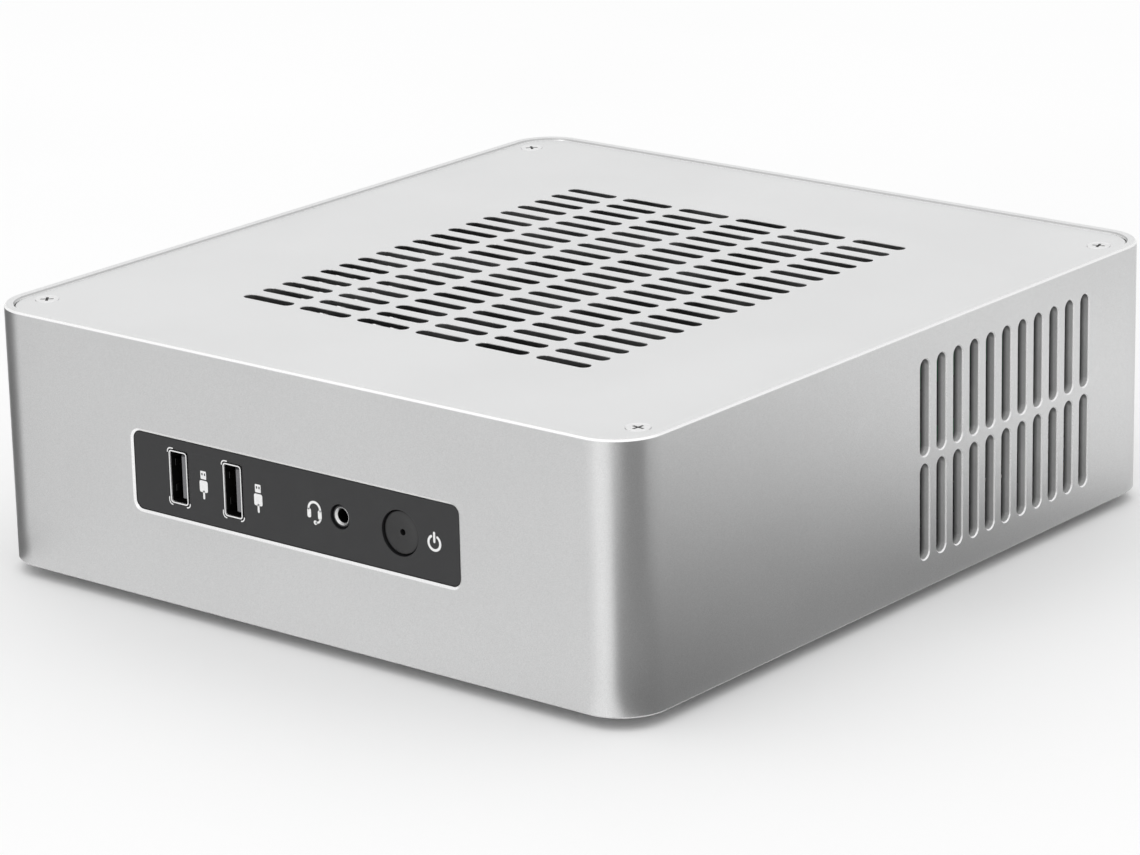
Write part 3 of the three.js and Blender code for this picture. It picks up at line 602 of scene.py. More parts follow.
def surround():
    outer = rect(WIDTH, DEPTH, CORNER_RADIUS, steps=24)
    inner = rect(WIDTH - 2 * WALL, DEPTH - 2 * WALL, CORNER_RADIUS - WALL, steps=24)
    edge = 0.45
    levels = [(edge, 0.25, BODY_LOW), (0, 0, BODY_LOW + edge), (0, 0, LID_TOP - 0.3),
              (0, 0, BODY_TOP - edge), (edge, 0.25, BODY_TOP)]
    # the top cap takes the rim look, paler than the sides: painted light on the top of the surround
    ring = stack(outer, levels, [inner], skins=[(1, 0), (0, 0), (0, 1), (1, 0)], caps=(0, 3))

    cutters = []
    for y in grid(SIDE_SLOT["columns"], SIDE_SLOT["pitch_y"], SIDE_SLOTS_Y):
        for z in grid(SIDE_SLOT["rows"], SIDE_SLOT["pitch_z"], BODY_LOW + SIDE_SLOTS_Z):
            outline = slot(SIDE_SLOT["long"] - 0.1, SIDE_SLOT["wide"] - 0.1, y, z, True)
            for side in (1, -1):
                cutters.append(opening(outline, side * WIDTH / 2, side, "X"))

    px0, px1, _, _, pz0, pz1 = panel_plate()
    front = rect(px1 - px0 + 0.3, pz1 - pz0 + 0.3, 2.3, (px0 + px1) / 2, (pz0 + pz1) / 2)
    cutters.append(opening(front, Y0, -1, "Y", 0.6, 0.4, 1.35))
    sx0, sx1, _, _, sz0, sz1 = extents("io_shield")
    rear = rect(sx1 - sx0 + 0.5, sz1 - sz0 + 0.5, 0.6, (sx0 + sx1) / 2, (sz0 + sz1) / 2, 4)
    cutters.append(opening(rear, Y1, 1, "Y"))
    shell = cut(ring, cutters)

    posts = []
    for sx, sy in CORNERS.values():
        x = sx * (WIDTH / 2 - WALL)
        low = (min(x, x - sx * 10.5), sy * SCREW_Y - 5.5, BASE_TOP)
        high = (max(x, x - sx * 10.5), sy * SCREW_Y + 5.5, LID_LOW)
        posts.append(block(low, high, 0.8, bevel=0.2))
    show("case_surround", [shell] + posts, ["case", "bright", "wall", "rim"], nodes=["surround_frame"])


def plate_outline(gap=0.3):
    inset = 2 * (WALL + gap)
    return rect(WIDTH - inset, DEPTH - inset, CORNER_RADIUS - WALL - gap, steps=24)


def countersinks(low, high, wide_at_top):
    """Four holes for countersunk screws through a plate."""
    def radius(height):
        t = (height - low) / (high - low)
        t = t if wide_at_top else 1 - t
        return 1.5 + 1.65 * min(max(t, 0), 1)
    return [cone(radius, sx * SCREW_X, sy * SCREW_Y) for sx, sy in CORNERS.values()]


def lid():
    eased = 0.05
    slots = [slot(TOP_SLOT["long"] - 2 * eased, TOP_SLOT["wide"] - 2 * eased, x, y, steps=8)
             for x in grid(TOP_SLOT["columns"], TOP_SLOT["pitch_x"])
             for y in grid(TOP_SLOT["rows"], TOP_SLOT["pitch_y"])]
    levels = [(0.1, 0, LID_LOW), (0, 0, LID_LOW + 0.1), (0, 0, LID_TOP - 0.2), (0.2, eased, LID_TOP)]
    # the slots' walls take the nearly black painted shade
    mesh = stack(plate_outline(), levels, slots + countersinks(LID_LOW, LID_TOP, True),
                 skins=[(0, 1), (0, 1), (2, 0)])
    show("vented_lid", mesh, ["lid", "lid_slot_painted_shade", "bright"], nodes=["top_lid"])


def base():
    levels = [(0.2, 0, BASE_LOW), (0, 0, BASE_LOW + 0.2), (0, 0, BASE_TOP)]
    mesh = stack(plate_outline(), levels, countersinks(BASE_LOW, BASE_TOP, False))
    show("base_cover", mesh, "case", nodes=["base_plate"])


def cross_screw(head_radius, head_depth, shank_radius, long, flat_head=True):
    """A cross-head screw pointing down, its head's top at height 0."""
    if flat_head:
        head = [(shank_radius, -head_depth), (head_radius, -0.12), (head_radius - 0.08, 0), (0, 0)]
    else:
        head = [(head_radius, -head_depth), (head_radius, -0.8), (head_radius - 0.5, -0.25),
                (head_radius - 1.3, 0), (0, 0)]
    thread = []
    pitch = 0.5
    height = -long + 0.5
    while height < -head_depth - pitch:
        thread += [(shank_radius - 0.2, height), (shank_radius, height + pitch / 2)]
        height += pitch
    mesh = turned([(0, -long), (shank_radius - 0.4, -long)] + thread
                  + [(shank_radius, -head_depth)] + head)
    bars = []
    for width, height in ((3.2, 0.6), (0.6, 3.2)):
        outline = rect(width, height, 0.1, steps=3)
        # the cut faces of the cross take the second material, painted shade
        bars.append(stack(outline, [(0.12, 0, -0.95), (0.05, 0, -0.4), (-0.12, 0, 0.3)],
                          skins=[(1, 1), (1, 1)], caps=(1, 1)))
    return cut(mesh, bars)


def corner_screws():
    lid_screw = cross_screw(head_radius=2.85, head_depth=1.2, shank_radius=1.15, long=8)
    base_screw = lid_screw.copy()
    base_screw.transform(Matrix.Rotation(math.pi, 4, "X"))
    for name, (sx, sy) in CORNERS.items():
        for mesh, kind, z in ((lid_screw, "lid", LID_TOP), (base_screw, "base", BASE_LOW)):
            own = mesh.copy()
            own.transform(Matrix.Rotation(random.uniform(0, math.pi / 2), 4, "Z"))
            show(f"{kind}_fixing_{name}", shifted(own, sx * SCREW_X, sy * SCREW_Y, z), ["screw", "painted_recess_shade"],
                 nodes=[f"{kind}_screw_{name}"], angle=25)


def feet():
    for name in CORNERS:
        x, y, _ = middle(f"rubber_foot_{name}")
        x0, x1, _, _, z0, z1 = extents(f"rubber_foot_{name}")
        r = (x1 - x0) / 2
        profile = [(0, z0 + 0.5), (2.0, z0 + 0.5), (2.5, z0 + 0.1), (2.9, z0), (r - 1.1, z0),
                   (r - 0.5, z0 + 0.15), (r - 0.15, z0 + 0.5), (r, z0 + 1.1), (r, z1), (0, z1)]
        show(f"foot_{name}", turned(profile, at=(x, y, 0)), "rubber", nodes=[f"rubber_foot_{name}"],
             angle=50)


# ------------------------------------------------------------------ the front panel
FRONT_USB = {side: middle(f"front_usb_shell_{side}") for side in ("left", "right")}
JACK = middle("headset_jack")
BUTTON = middle("power_button")
PANEL_Y0, PANEL_Y1 = extents("front_panel")[2:4]
PANEL_PLATE = {"width": 101.6, "height": 19.4, "z": 35.2}
FLANGE_WIDTH = 110
FLANGE_BACK = Y0 + WALL + 0.1 + 1.2
USB_OPENING = (6.0, 13.4)
JACK_OPENING_RADIUS = 2.95
BUTTON_OPENING_RADIUS = 5.5
BUTTON_RADIUS = 5.3


def panel_plate():
    """(x0, x1, y0, y1, z0, z1) of the part of the panel that fills the opening."""
    w, h, z = PANEL_PLATE["width"], PANEL_PLATE["height"], PANEL_PLATE["z"]
    return -w / 2, w / 2, PANEL_Y0, Y0 + WALL + 0.1, z - h / 2, z + h / 2


def control_panel():
    y0, y1 = panel_plate()[2:4]
    w, h, z = PANEL_PLATE["width"], PANEL_PLATE["height"], PANEL_PLATE["z"]
    holes = [rect(*USB_OPENING, 0.5, x, uz, 4) for x, _, uz in FRONT_USB.values()]
    holes += [circle(JACK_OPENING_RADIUS, JACK[0], JACK[2]),
              circle(BUTTON_OPENING_RADIUS, BUTTON[0], BUTTON[2], 96)]
    grow = (FLANGE_WIDTH - w) / 2
    levels = [(-grow, 0, FLANGE_BACK), (-grow, 0, y1), (0, 0, y1), (0, 0, y0 + 0.25),
              (0.07, 0.07, y0 + 0.07), (0.25, 0.25, y0)]
    mesh = stack(rect(w, h, 2.2, 0, z), levels, holes, axis="Y")
    bosses = []
    for node in ("front_board_screw_1", "front_board_screw_2"):
        x, _, bz = middle(node)
        bosses.append(turned([(0, FLANGE_BACK), (2.5, FLANGE_BACK), (2.5, PANEL_Y1), (0, PANEL_Y1)],
                             "Y", (x, 0, bz), 32))
    show("control_panel", [mesh] + bosses, "panel", nodes=["front_panel"])


def usb_sockets():
    for side, (x, _, z) in FRONT_USB.items():
        _, _, y0, y1, _, _ = extents(f"front_usb_shell_{side}")
        levels = [(0, 0, y1), (0, 0, y0 + 0.7), (-0.05, 0.02, y0 + 0.3), (-0.08, 0.14, y0)]
        # the inner walls take the second material, nearly black: painted shade inside the shell
        shell = stack(rect(5.6, 13.0, 0.75, x, z, 8), levels,
                      [rect(4.9, 12.3, 0.45, x, z, 8)], axis="Y", skins=[(0, 1), (0, 1), (0, 0)])
        lips = [folded_lip(x, z, sx, sz) for sx, sz in ((-1, 1), (-1, -1), (1, -1))]
        show(f"usb_shell_{side}", [shell] + lips, ["port", "hollow"], nodes=[f"front_usb_shell_{side}"])

        tx0, tx1, ty0, ty1, tz0, tz1 = extents(f"front_usb_tongue_{side}")
        carrier = block((tx0, ty1 - 6, tz0), (tx1, ty1, tz1), 0.2)
        tongue = block((x + 0.15, ty0, z - 5.4), (x + 1.85, ty1 - 5, z + 5.4), 0.25, axis="Y")
        contacts = [block((x + 0.02, ty0 + 0.8, z + up - 0.5), (x + 0.25, ty1 - 6, z + up + 0.5), 0.08)
                    for up in (-3.5, -1.0, 1.0, 3.5)]
        springs = [block((x - 2.35, y0 + 1.4, z + up - 0.9), (x - 2.1, y0 + 4, z + up + 0.9), 0.1)
                   for up in (-3.2, 3.2)]
        show(f"usb_tongue_{side}", [carrier, tongue], "tongue", nodes=[f"front_usb_tongue_{side}"])
        show(f"usb_contacts_{side}", contacts, "gold")
        # the springs nearly black: painted shade inside the socket
        show(f"usb_springs_{side}", springs, "hollow")


def folded_lip(x, z, sx, sz):
    """A corner of the shell folded over the panel: an angle of steel round the opening's corner."""
    cx, cz = x + sx * 2.35, z + sz * 6.05
    start = {(-1, 1): 90, (-1, -1): 180, (1, -1): 270}[sx, sz]
    bend = arc(cx, cz, 1.0, start, start + 90, 8)
    tail = {(-1, 1): (0.7, 0), (-1, -1): (0, 0.7)}.get((sx, sz))
    if tail:
        bend = [(bend[0][0] + tail[0], bend[0][1] + tail[1])] + bend
    outline = stroke(bend, 0.3)
    return stack(outline, [(0, 0, PANEL_Y0 + 0.1), (0, 0, PANEL_Y0 - 0.12)], axis="Y")


def headset_socket():
    x, _, z = JACK
    x0, x1, y0, y1, z0, z1 = extents("headset_jack")
    bore = 1.78
    collar = [(0, y0 + 9), (bore, y0 + 9), (bore, y0 + 0.75), (bore + 0.4, y0 + 0.1), (bore + 0.5, y0),
              (2.35, y0), (2.6, y0 + 0.15), (2.7, y0 + 0.5), (2.7, FLANGE_BACK + 1),
              (bore + 0.1, FLANGE_BACK + 1), (bore + 0.1, y0 + 9.2), (0, y0 + 9.2)]
    body = block((x0, FLANGE_BACK + 0.4, z0), (x1, y1, z1), 0.4)
    ring = turned(collar, "Y", (x, 0, z), 64)
    hole = turned([(0, y0 - 1), (bore, y0 - 1), (bore, y0 + 9), (0, y0 + 9)], "Y", (x, 0, z), 64)
    show("headset_body", [cut(body, [hole]), ring], "black", nodes=["headset_jack"])
    lining = turned([(bore + 0.38, y0 + 0.12), (bore + 0.34, y0 + 0.1), (bore - 0.04, y0 + 0.7),
                     (bore, y0 + 0.78), (bore + 0.38, y0 + 0.12)], "Y", (x, 0, z), 48)
    sleeve = turned([(bore, y0 + 0.7), (bore - 0.08, y0 + 0.75), (bore - 0.08, y0 + 8.9),
                     (bore, y0 + 8.9)], "Y", (x, 0, z), 48)
    # the bore's sleeve nearly black: painted shade inside the jack
    show("headset_sleeve", sleeve, "hollow")
    show("headset_lining", lining, "port")


def power_button():
    x, _, z = BUTTON
    x0, x1, y0, y1, _, _ = extents("power_button")
    flange = (x1 - x0) / 2
    r, dish = BUTTON_RADIUS, 0.4
    profile = [(0, y1), (2, y1), (2, FLANGE_BACK + 1.2), (flange, FLANGE_BACK + 1.2),
               (flange, FLANGE_BACK + 0.2), (r, FLANGE_BACK + 0.2), (r, y0 + 0.45), (r - 0.05, y0 + 0.22),
               (r - 0.18, y0 + 0.07), (r - 0.38, y0), (r - 0.75, y0 + 0.02), (r - 1.2, y0 + 0.08)]
    for i in range(1, 9):
        t = i / 8
        radius = (r - 1.2) * (1 - t) + 0.8 * t
        profile.append((radius, y0 + 0.08 + (dish - 0.08) * math.sin(t * math.pi / 2)))
    profile += [(0.76, y0 + dish + 0.1), (0.76, y0 + 3.9), (0, y0 + 3.9)]
    show("power_key", turned(profile, "Y", (x, 0, z), 96), "button", body="power_button",
         nodes=["power_button"])
    ly0, ly1 = extents("power_light_pipe")[2:4]
    front = ly0 + 1.2
    lens = [(0, ly1), (0.7, ly1), (0.7, front + 0.1), (0.6, front + 0.02), (0.3, front), (0, front)]
    show("power_lens", turned(lens, "Y", (x, 0, z), 32), "lens", body="power_button",
         nodes=["power_light_pipe"], angle=60)


def stroke(points, width, steps=6):
    """Outline of a line drawn with a round pen through the points."""
    half = width / 2
    left, right = [], []
    for i, point in enumerate(points):
        before = points[max(i - 1, 0)]
        after = points[min(i + 1, len(points) - 1)]
        dx, dy = after[0] - before[0], after[1] - before[1]
        long = math.hypot(dx, dy)
        nx, ny = -dy / long * half, dx / long * half
        left.append((point[0] + nx, point[1] + ny))
        right.append((point[0] - nx, point[1] - ny))

    def cap(centre, start):
        base = math.atan2(start[1] - centre[1], start[0] - centre[0])
        return [polar(*centre, half, base - math.pi * i / steps) for i in range(1, steps)]

    outline = left + cap(points[-1], left[-1]) + right[::-1] + cap(points[0], right[0])
    return lambda _grow=0.0, _height=0.0: outline


def arc(cx, cy, radius, start, end, steps=24):
    return [polar(cx, cy, radius, math.radians(start + (end - start) * i / steps))
            for i in range(steps + 1)]


def pictures():
    """The small white pictures beside the controls, printed on the panel's face."""
    def printed(outline, holes=()):
        return stack(outline, [(0, 0, PANEL_Y0 + 0.02), (0, 0, PANEL_Y0 - 0.04)], holes, axis="Y")

    x, z = BUTTON[0] + 10.35, BUTTON[2] - 0.3
    power = [printed(stroke(arc(x, z, 1.75, 122, 418), 0.62)),
             printed(stroke([(x, z + 0.3), (x, z + 2.4)], 0.62))]
    show("power_picture", power, "ink")

    # a headset: band, two ear cushions and a microphone arm
    x, z = JACK[0] - 7.9, JACK[2] - 0.1
    headset = [printed(stroke(arc(x, z + 0.4, 1.8, 0, 180), 0.6)),
               printed(rect(1.15, 2.3, 0.5, x - 1.65, z - 0.65, 4)),
               printed(rect(1.15, 2.3, 0.5, x + 1.65, z - 0.65, 4)),
               printed(stroke([(x + 1.8, z - 1.8), (x + 1.35, z - 2.45), (x + 0.5, z - 2.75)], 0.5)),
               printed(circle(0.55, x + 0.2, z - 2.75, 16))]
    show("headset_picture", headset, "ink")

    # a plain data plug seen from the side, upright: lead, grip and bare end
    for side, (usb_x, _, z) in FRONT_USB.items():
        x = usb_x + 8
        windows = [rect(0.42, 0.62, 0.05, x + dx, z + 2.3, 2) for dx in (-0.4, 0.4)]
        plug = [printed(stroke([(x, z - 3.6), (x, z - 2.0)], 0.6)),
                printed(rect(2.6, 2.9, 0.5, x, z - 0.7, 4)),
                printed(rect(1.8, 2.0, 0.15, x, z + 2.1, 3), windows)]
        show(f"plug_picture_{side}", plug, "ink")


FRONT_BOARD_PARTS = 26


def front_electronics():
    x0, x1, y0, y1, z0, z1 = extents("front_io_board")
    board = stack(rect_between(x0, x1, z0, z1, 1.0, 4),
                  [(0, 0, y0), (0, 0, y1)], axis="Y")
    show("front_board", board, "green", nodes=["front_io_board"])
    for i in (1, 2):
        x, _, z = middle(f"front_board_screw_{i}")
        mesh = cross_screw(head_radius=2.4, head_depth=1.5, shank_radius=0.9, long=8.4, flat_head=False)
        mesh.transform(Matrix.Rotation(-math.pi / 2, 4, "X"))
        show(f"front_board_fixing_{i}", shifted(mesh, x, extents(f"front_board_screw_{i}")[3], z),
             ["screw", "painted_recess_shade"], nodes=[f"front_board_screw_{i}"], angle=25)
    parts = []
    for i in range(FRONT_BOARD_PARTS):
        px = random.uniform(x0 + 4, x1 - 4)
        pz = random.uniform(z0 + 3, z1 - 3)
        long = random.choice((1.0, 1.6, 2.0))
        if -16 < px < 1 or abs(px - 45.5) < 5:
            continue
        parts.append(block((px, y1, pz), (px + long, y1 + 0.7, pz + long / 2), 0.1))
    show("front_board_parts", parts, "epoxy")


# ------------------------------------------------------------------ CAD nodes kept as they are
def dress(node, look):
    """Gives a CAD node a procedural material in place of its plain one."""
    slots = frame["nodes"][node].material_slots
    if not slots:
        frame["nodes"][node].data.materials.append(LOOK[look])
        return
    for material_slot in slots:
        material_slot.material = LOOK[look]


# ------------------------------------------------------------------ the rear ports
SHIELD_FACE = extents("io_shield")[3]


def port_place(node):
    """x of a port's middle, y of its back face and z of its underside."""
    return middle(node)[0], extents(node)[3], extents(node)[4]


def port_body(node, mouths, depth, radius=0.6):
    """The outer block of a port, hollowed from the back of the computer through each mouth."""
    x0, x1, y0, y1, z0, z1 = extents(node)
    body = block((x0, y0, z0), (x1, y1, z1), radius, axis="Y", bevel=0.15)
    steps = [(0, 0, y1 - depth), (0, 0, y1 - 0.3), (-0.2, 0, y1), (-0.5, 0, y1 + 0.5)]
    # the mouths' walls and far ends take the second material, nearly black: painted shade inside the port
    return cut(body, [stack(mouth, steps, axis="Y", skins=[(1, 1), (0, 0), (0, 0)], caps=(1, 1))
                      for mouth in mouths])


def strips(places, low, high):
    """Contact strips at the given x: low is (half width, y, z) and high is (y, z)."""
    return joined([block((x - low[0], low[1], low[2]), (x + low[0], high[0], high[1]), 0.08)
                   for x in places])


def rear_usb():
    for i in (1, 2):
        node = f"rear_usb_stack_{i}"
        x, y1, z0 = port_place(node)
        levels = [z0 + 4.2, z0 + 12.2]
        shell = port_body(node, [rect(12.6, 5.2, 0.5, x, z, 4) for z in levels], 12)
        show(f"usb_stack_{i}", shell, ["tin", "hollow"], nodes=[node])
        tongues = [block((x - 5.6, y1 - 12.5, z - 0.2), (x + 5.6, y1 - 1, z + 1.6), 0.3) for z in levels]
        show(f"usb_stack_tongues_{i}", tongues, "blue")
        across = [x + dx for dx in (-3.5, -1, 1, 3.5)]
        contacts = [strips(across, (0.5, y1 - 9, z - 0.32), (y1 - 2, z - 0.15)) for z in levels]
        show(f"usb_stack_contacts_{i}", contacts, "gold")


def video_ports():
    for i in (1, 2):
        node = f"video_port_{i}"
        x, _, z = middle(node)
        y1 = extents(node)[3]
        mouth = polygon([(-5.2, -2.4), (5.2, -2.4), (7, -0.8), (7, 2.4), (-7, 2.4), (-7, -0.8)], x, z)
        show(f"video_shell_{i}", port_body(node, [mouth], 10), ["tin", "hollow"], nodes=[node])
        tongue = block((x - 6, y1 - 10.5, z - 0.5), (x + 6, y1 - 1.2, z + 0.5), 0.2)
        show(f"video_tongue_{i}", tongue, "black")
        contacts = strips([x + dx for dx in grid(10, 1.1)], (0.25, y1 - 8, z - 0.6), (y1 - 2, z - 0.45))
        show(f"video_contacts_{i}", contacts, "gold")


def lan_port():
    x, y1, z0 = port_place("lan_jack")
    z = z0 + 6.2
    mouth = polygon([(-5.9, -3.5), (5.9, -3.5), (5.9, 3.5), (3, 3.5), (3, 5.5), (-3, 5.5), (-3, 3.5),
                     (-5.9, 3.5)], x, z)
    show("lan_shell", port_body("lan_jack", [mouth], 13), ["tin", "hollow"], nodes=["lan_jack"])
    wires = [block((wire_x - 0.2, y1 - 11, z - 3.1), (wire_x + 0.2, y1 - 3, z - 2.75), 0.1)
             for wire_x in grid(8, 1.02, x)]
    show("lan_contacts", wires, "gold")
    for name, side, look in (("lan_lamp_left", -1, "amber"), ("lan_lamp_right", 1, "lime")):
        centre = x + side * 5.6
        lamp = block((centre - 1.5, y1 - 1, z + 4.6), (centre + 1.5, y1 + 0.1, z + 6.4), 0.3, axis="Y")
        show(name, lamp, look)


def audio_ports():
    x, y1, z0 = port_place("audio_stack")
    heights = [z0 + up for up in (6, 17, 28)]
    body = port_body("audio_stack", [circle(1.8, x, z) for z in heights], 12, 0.5)
    show("audio_block", body, ["black", "hollow"], nodes=["audio_stack"])
    for z, look in zip(heights, ("pink", "lime", "blue")):
        profile = [(1.9, y1 - 0.6), (1.9, y1 + 0.05), (2.1, y1 + 0.25), (3.6, y1 + 0.25), (3.8, y1 + 0.1),
                   (3.8, y1 - 0.1), (3.0, y1 - 0.1), (3.0, y1 - 0.6), (1.9, y1 - 0.6)]
        show(f"audio_ring_{look}", turned(profile, "Y", (x, 0, z), 48), look)


def power_inlet():
    x, y1, z0 = port_place("dc_inlet")
    z = z0 + 5.8
    show("inlet_block", port_body("dc_inlet", [circle(3.2, x, z)], 10, 0.5), ["black", "hollow"],
         nodes=["dc_inlet"])
    pin = turned([(0, y1 - 10.5), (1.05, y1 - 10.5), (1.05, y1 - 2), (0.85, y1 - 1.6), (0, y1 - 1.5)],
                 "Y", (x, 0, z), 32)
    show("inlet_pin", pin, "port")


def antenna_plugs():
    for i in (1, 2):
        node = f"antenna_plug_{i}"
        x, _, z = middle(node)
        y0, y1 = extents(node)[2:4]
        profile = [(0, y0), (3.2, y0 + 0.1), (3.6, y0 + 0.4), (3.0, y0 + 1.2), (3.0, SHIELD_FACE + 0.1),
                   (4.2, SHIELD_FACE + 0.1), (4.3, SHIELD_FACE + 0.25), (4.1, y1 - 0.1), (3.7, y1),
                   (2.2, y1), (1.9, y1 - 0.25), (0, y1 - 0.3)]
        show(f"aerial_bung_{i}", turned(profile, "Y", (x, 0, z), 48), "rubber", nodes=[node], angle=50)


PORT_NODES = ["dc_inlet", "video_port_1", "video_port_2", "rear_usb_stack_1", "rear_usb_stack_2",
              "lan_jack", "audio_stack"]


def shield():
    """The rolled plate behind the ports: an opening and a pressed ridge round each of them."""
    x0, x1, y0, y1, z0, z1 = extents("io_shield")
    holes, ridges = [], []
    for node in PORT_NODES:
        px0, px1, _, _, pz0, pz1 = extents(node)
        width, height, cx, cz = px1 - px0, pz1 - pz0, (px0 + px1) / 2, (pz0 + pz1) / 2
        holes.append(rect(width + 0.6, height + 0.7, 0.5, cx, cz + 0.05, 4))
        ridges.append((rect(width + 2.6, height + 2.4, 1.2, cx, cz + 0.05, 6),
                       rect(width + 1.4, height + 1.3, 0.8, cx, cz + 0.05, 6)))
    for i in (1, 2):
        x, _, z = middle(f"antenna_plug_{i}")
        holes.append(circle(3.3, x, z))
        ridges.append((circle(5.6, x, z), circle(4.9, x, z)))
    plate = stack(rect_between(x0, x1, z0, z1, 0.8, 6),
                  [(0, 0, y0), (0, 0, y1 - 0.15), (0.12, 0.08, y1)], holes, axis="Y")
    beads = [(slot(52, 2.2, -46, z), slot(50.8, 1.0, -46, z)) for z in (34, 42)]
    ridge_levels = [(0, 0, y1 - 0.3), (0, 0, y1 + 0.12), (0.18, 0.18, y1 + 0.24)]
    raised = [stack(outer, ridge_levels, [inner], axis="Y") for outer, inner in ridges + beads]
    show("port_shield", [plate] + raised, "shield", nodes=["io_shield"])


# ------------------------------------------------------------------ inside
def chips(name, places):
    """Flat packages from (low, high) boxes."""
    show(name, [block(low, high, 0.2, bevel=0.15) for low, high in places], "epoxy")


MEMORY_CHIPS = 8
MEMORY_FINGERS = 118


def memory():
    for i in (1, 2):
        x0, x1, y0, y1, z0, _ = extents(f"memory_module_{i}")
        dress(f"memory_module_{i}", "green")
        packages = []
        for y in grid(MEMORY_CHIPS, 15.6, (y0 + y1) / 2):
            for low, high in ((x0 - 0.95, x0), (x1, x1 + 0.95)):
                packages.append(((low, y - 5, z0 + 12), (high, y + 5, z0 + 23)))
        chips(f"memory_chips_{i}", packages)
        fingers = [block((x0 - 0.04, y - 0.35, z0 + 1), (x1 + 0.04, y + 0.35, z0 + 6.5), 0.05)
                   for y in grid(MEMORY_FINGERS, 1.1, (y0 + y1) / 2)]
        show(f"memory_fingers_{i}", fingers, "gold")


def storage():
    dress("storage_stick", "dark")
    x0, x1, y0 = extents("storage_stick")[:3]
    x, top = (x0 + x1) / 2, BOARD_TOP + 4.8
    chips("storage_chips", [((x - 8, y, top), (x + 8, y + 13, top + 1.1)) for y in (y0 + 6, y0 + 24)]
          + [((x - 6, y0 + 44, top), (x + 6, y0 + 56, top + 0.9))])


# (x0, x1, y0, y1) of the places on the main board that larger parts stand on
KEEP_OUT = [(-24, 24, -11, 39), (56, 76, -56, 90), (-36, 36, 58, 76), (-73, -47, -34, 52),
            (-44, -20, -62, -54), (-90, 90, 90, 120), (-75, -45, 58, 84), (14, 42, -66, -50),
            (-42, 42, 75, 91)]
BOARD_HOLES = [middle(f"board_standoff_{corner}")[:2] for corner in CORNERS]
BOARD_PART_COUNT = 190


def free_spot(x, y):
    """True where the main board has room for a small part."""
    if any(x0 < x < x1 and y0 < y < y1 for x0, x1, y0, y1 in KEEP_OUT):
        return False
    return all(math.hypot(x - hx, y - hy) > 6 for hx, hy in BOARD_HOLES)


def board_parts():
    dress("main_board", "dark")
    z = BOARD_TOP
    small = {"epoxy": [], "cream": []}
    while sum(len(group) for group in small.values()) < BOARD_PART_COUNT:
        x, y = random.uniform(-82, 82), random.uniform(-63, 88)
        long, look = random.choice((1.0, 1.6, 2.0)), random.choice(("epoxy", "cream"))
        turned_round = random.random() < 0.5
        if free_spot(x, y):
            dx, dy = (long, long / 2) if turned_round else (long / 2, long)
            small[look].append(block((x, y, z), (x + dx, y + dy, z + long * 0.4), 0.08))
    for look, meshes in small.items():
        show(f"board_parts_{look}", meshes, look)
    can = [(0, z), (2.9, z), (2.9, z + 0.6), (3.0, z + 1), (3.0, z + 6.6), (2.8, z + 7),
           (2.2, z + 7.05), (2.0, z + 6.9), (0, z + 6.9)]
    cans, chokes = [], []
    for x in grid(9, 8.2):
        cans.append(turned(can, at=(x, 78.8, 0), steps=32))
        chokes.append(block((x - 3.2, 83, z), (x + 3.2, 89.4, z + 4.2), 0.8))
    show("board_cans", cans, "port")
    show("board_chokes", chokes, "choke")
    cell = turned([(0, z + 1), (9.6, z + 1), (10, z + 1.4), (10, z + 3.8), (9.6, z + 4.2),
                   (8.6, z + 4.25), (8.5, z + 4.15), (0, z + 4.15)], at=(-60, 71, 0), steps=64)
    show("clock_cell", cell, "port")
    holder = stack(circle(11.6, -60, 71), [(0, 0, z), (0, 0, z + 3), (0.4, 0, z + 3.4)],
                   [circle(10.2, -60, 71)])
    show("cell_holder", holder, "black")
    sockets = []
    for x in (20, 36):
        body = block((x - 5, -65, z), (x + 5, -53, z + 8.4), 0.4)
        sockets.append(cut(body, [block((x - 3.9, -66, z + 3), (x + 3.9, -57, z + 7.2), 0.3)]))
    show("drive_sockets", sockets, "black")
    chips("board_chips", [((x - half, y - half, z), (x + half, y + half, z + 1.4))
                          for x, y, half in ((-8, -45, 6), (46, 50, 5), (-66, -50, 7), (44, -40, 4))])


def blade(turn_by, low, high, hub, tip):
    """One swept fan blade: a thin twisted sheet closed all round."""
    radial, chord, thick = 8, 7, 0.55
    middle_height, rise = (low + high) / 2, (high - low) * 0.42
    bm = bmesh.new()
    sides = []
    for side in (1, -1):
        grid_of = []
        for i in range(radial + 1):
            r = hub + (tip - hub) * i / radial
            sweep = 0.20 * (i / radial) ** 1.5
            half = 0.36 * (1 - 0.12 * i / radial)
            row = []
            for j in range(chord + 1):
                t = 2 * j / chord - 1
                camber = 0.9 * (1 - t * t)
                angle = turn_by + sweep + half * t
                twist = rise * t * (1 - 0.2 * i / radial)
                height = middle_height + twist + camber + side * thick * (1 - 0.7 * t * t)
                row.append(bm.verts.new((r * math.cos(angle) * MM, r * math.sin(angle) * MM, height * MM)))
            grid_of.append(row)
        sides.append(grid_of)
    top, bottom = sides
    for i in range(radial):
        for j in range(chord):
            for g in (top, bottom):
                bm.faces.new((g[i][j], g[i + 1][j], g[i + 1][j + 1], g[i][j + 1]))
        for j in (0, chord):
            bm.faces.new((top[i][j], top[i + 1][j], bottom[i + 1][j], bottom[i][j]))
    for j in range(chord):
        for i in (0, radial):
            bm.faces.new((top[i][j], top[i][j + 1], bottom[i][j + 1], bottom[i][j]))
    return mesh_of(bm)


FAN_BLADES = 7
FAN_BORE = 38
FAN_SCREW_OFFSET = 35.75


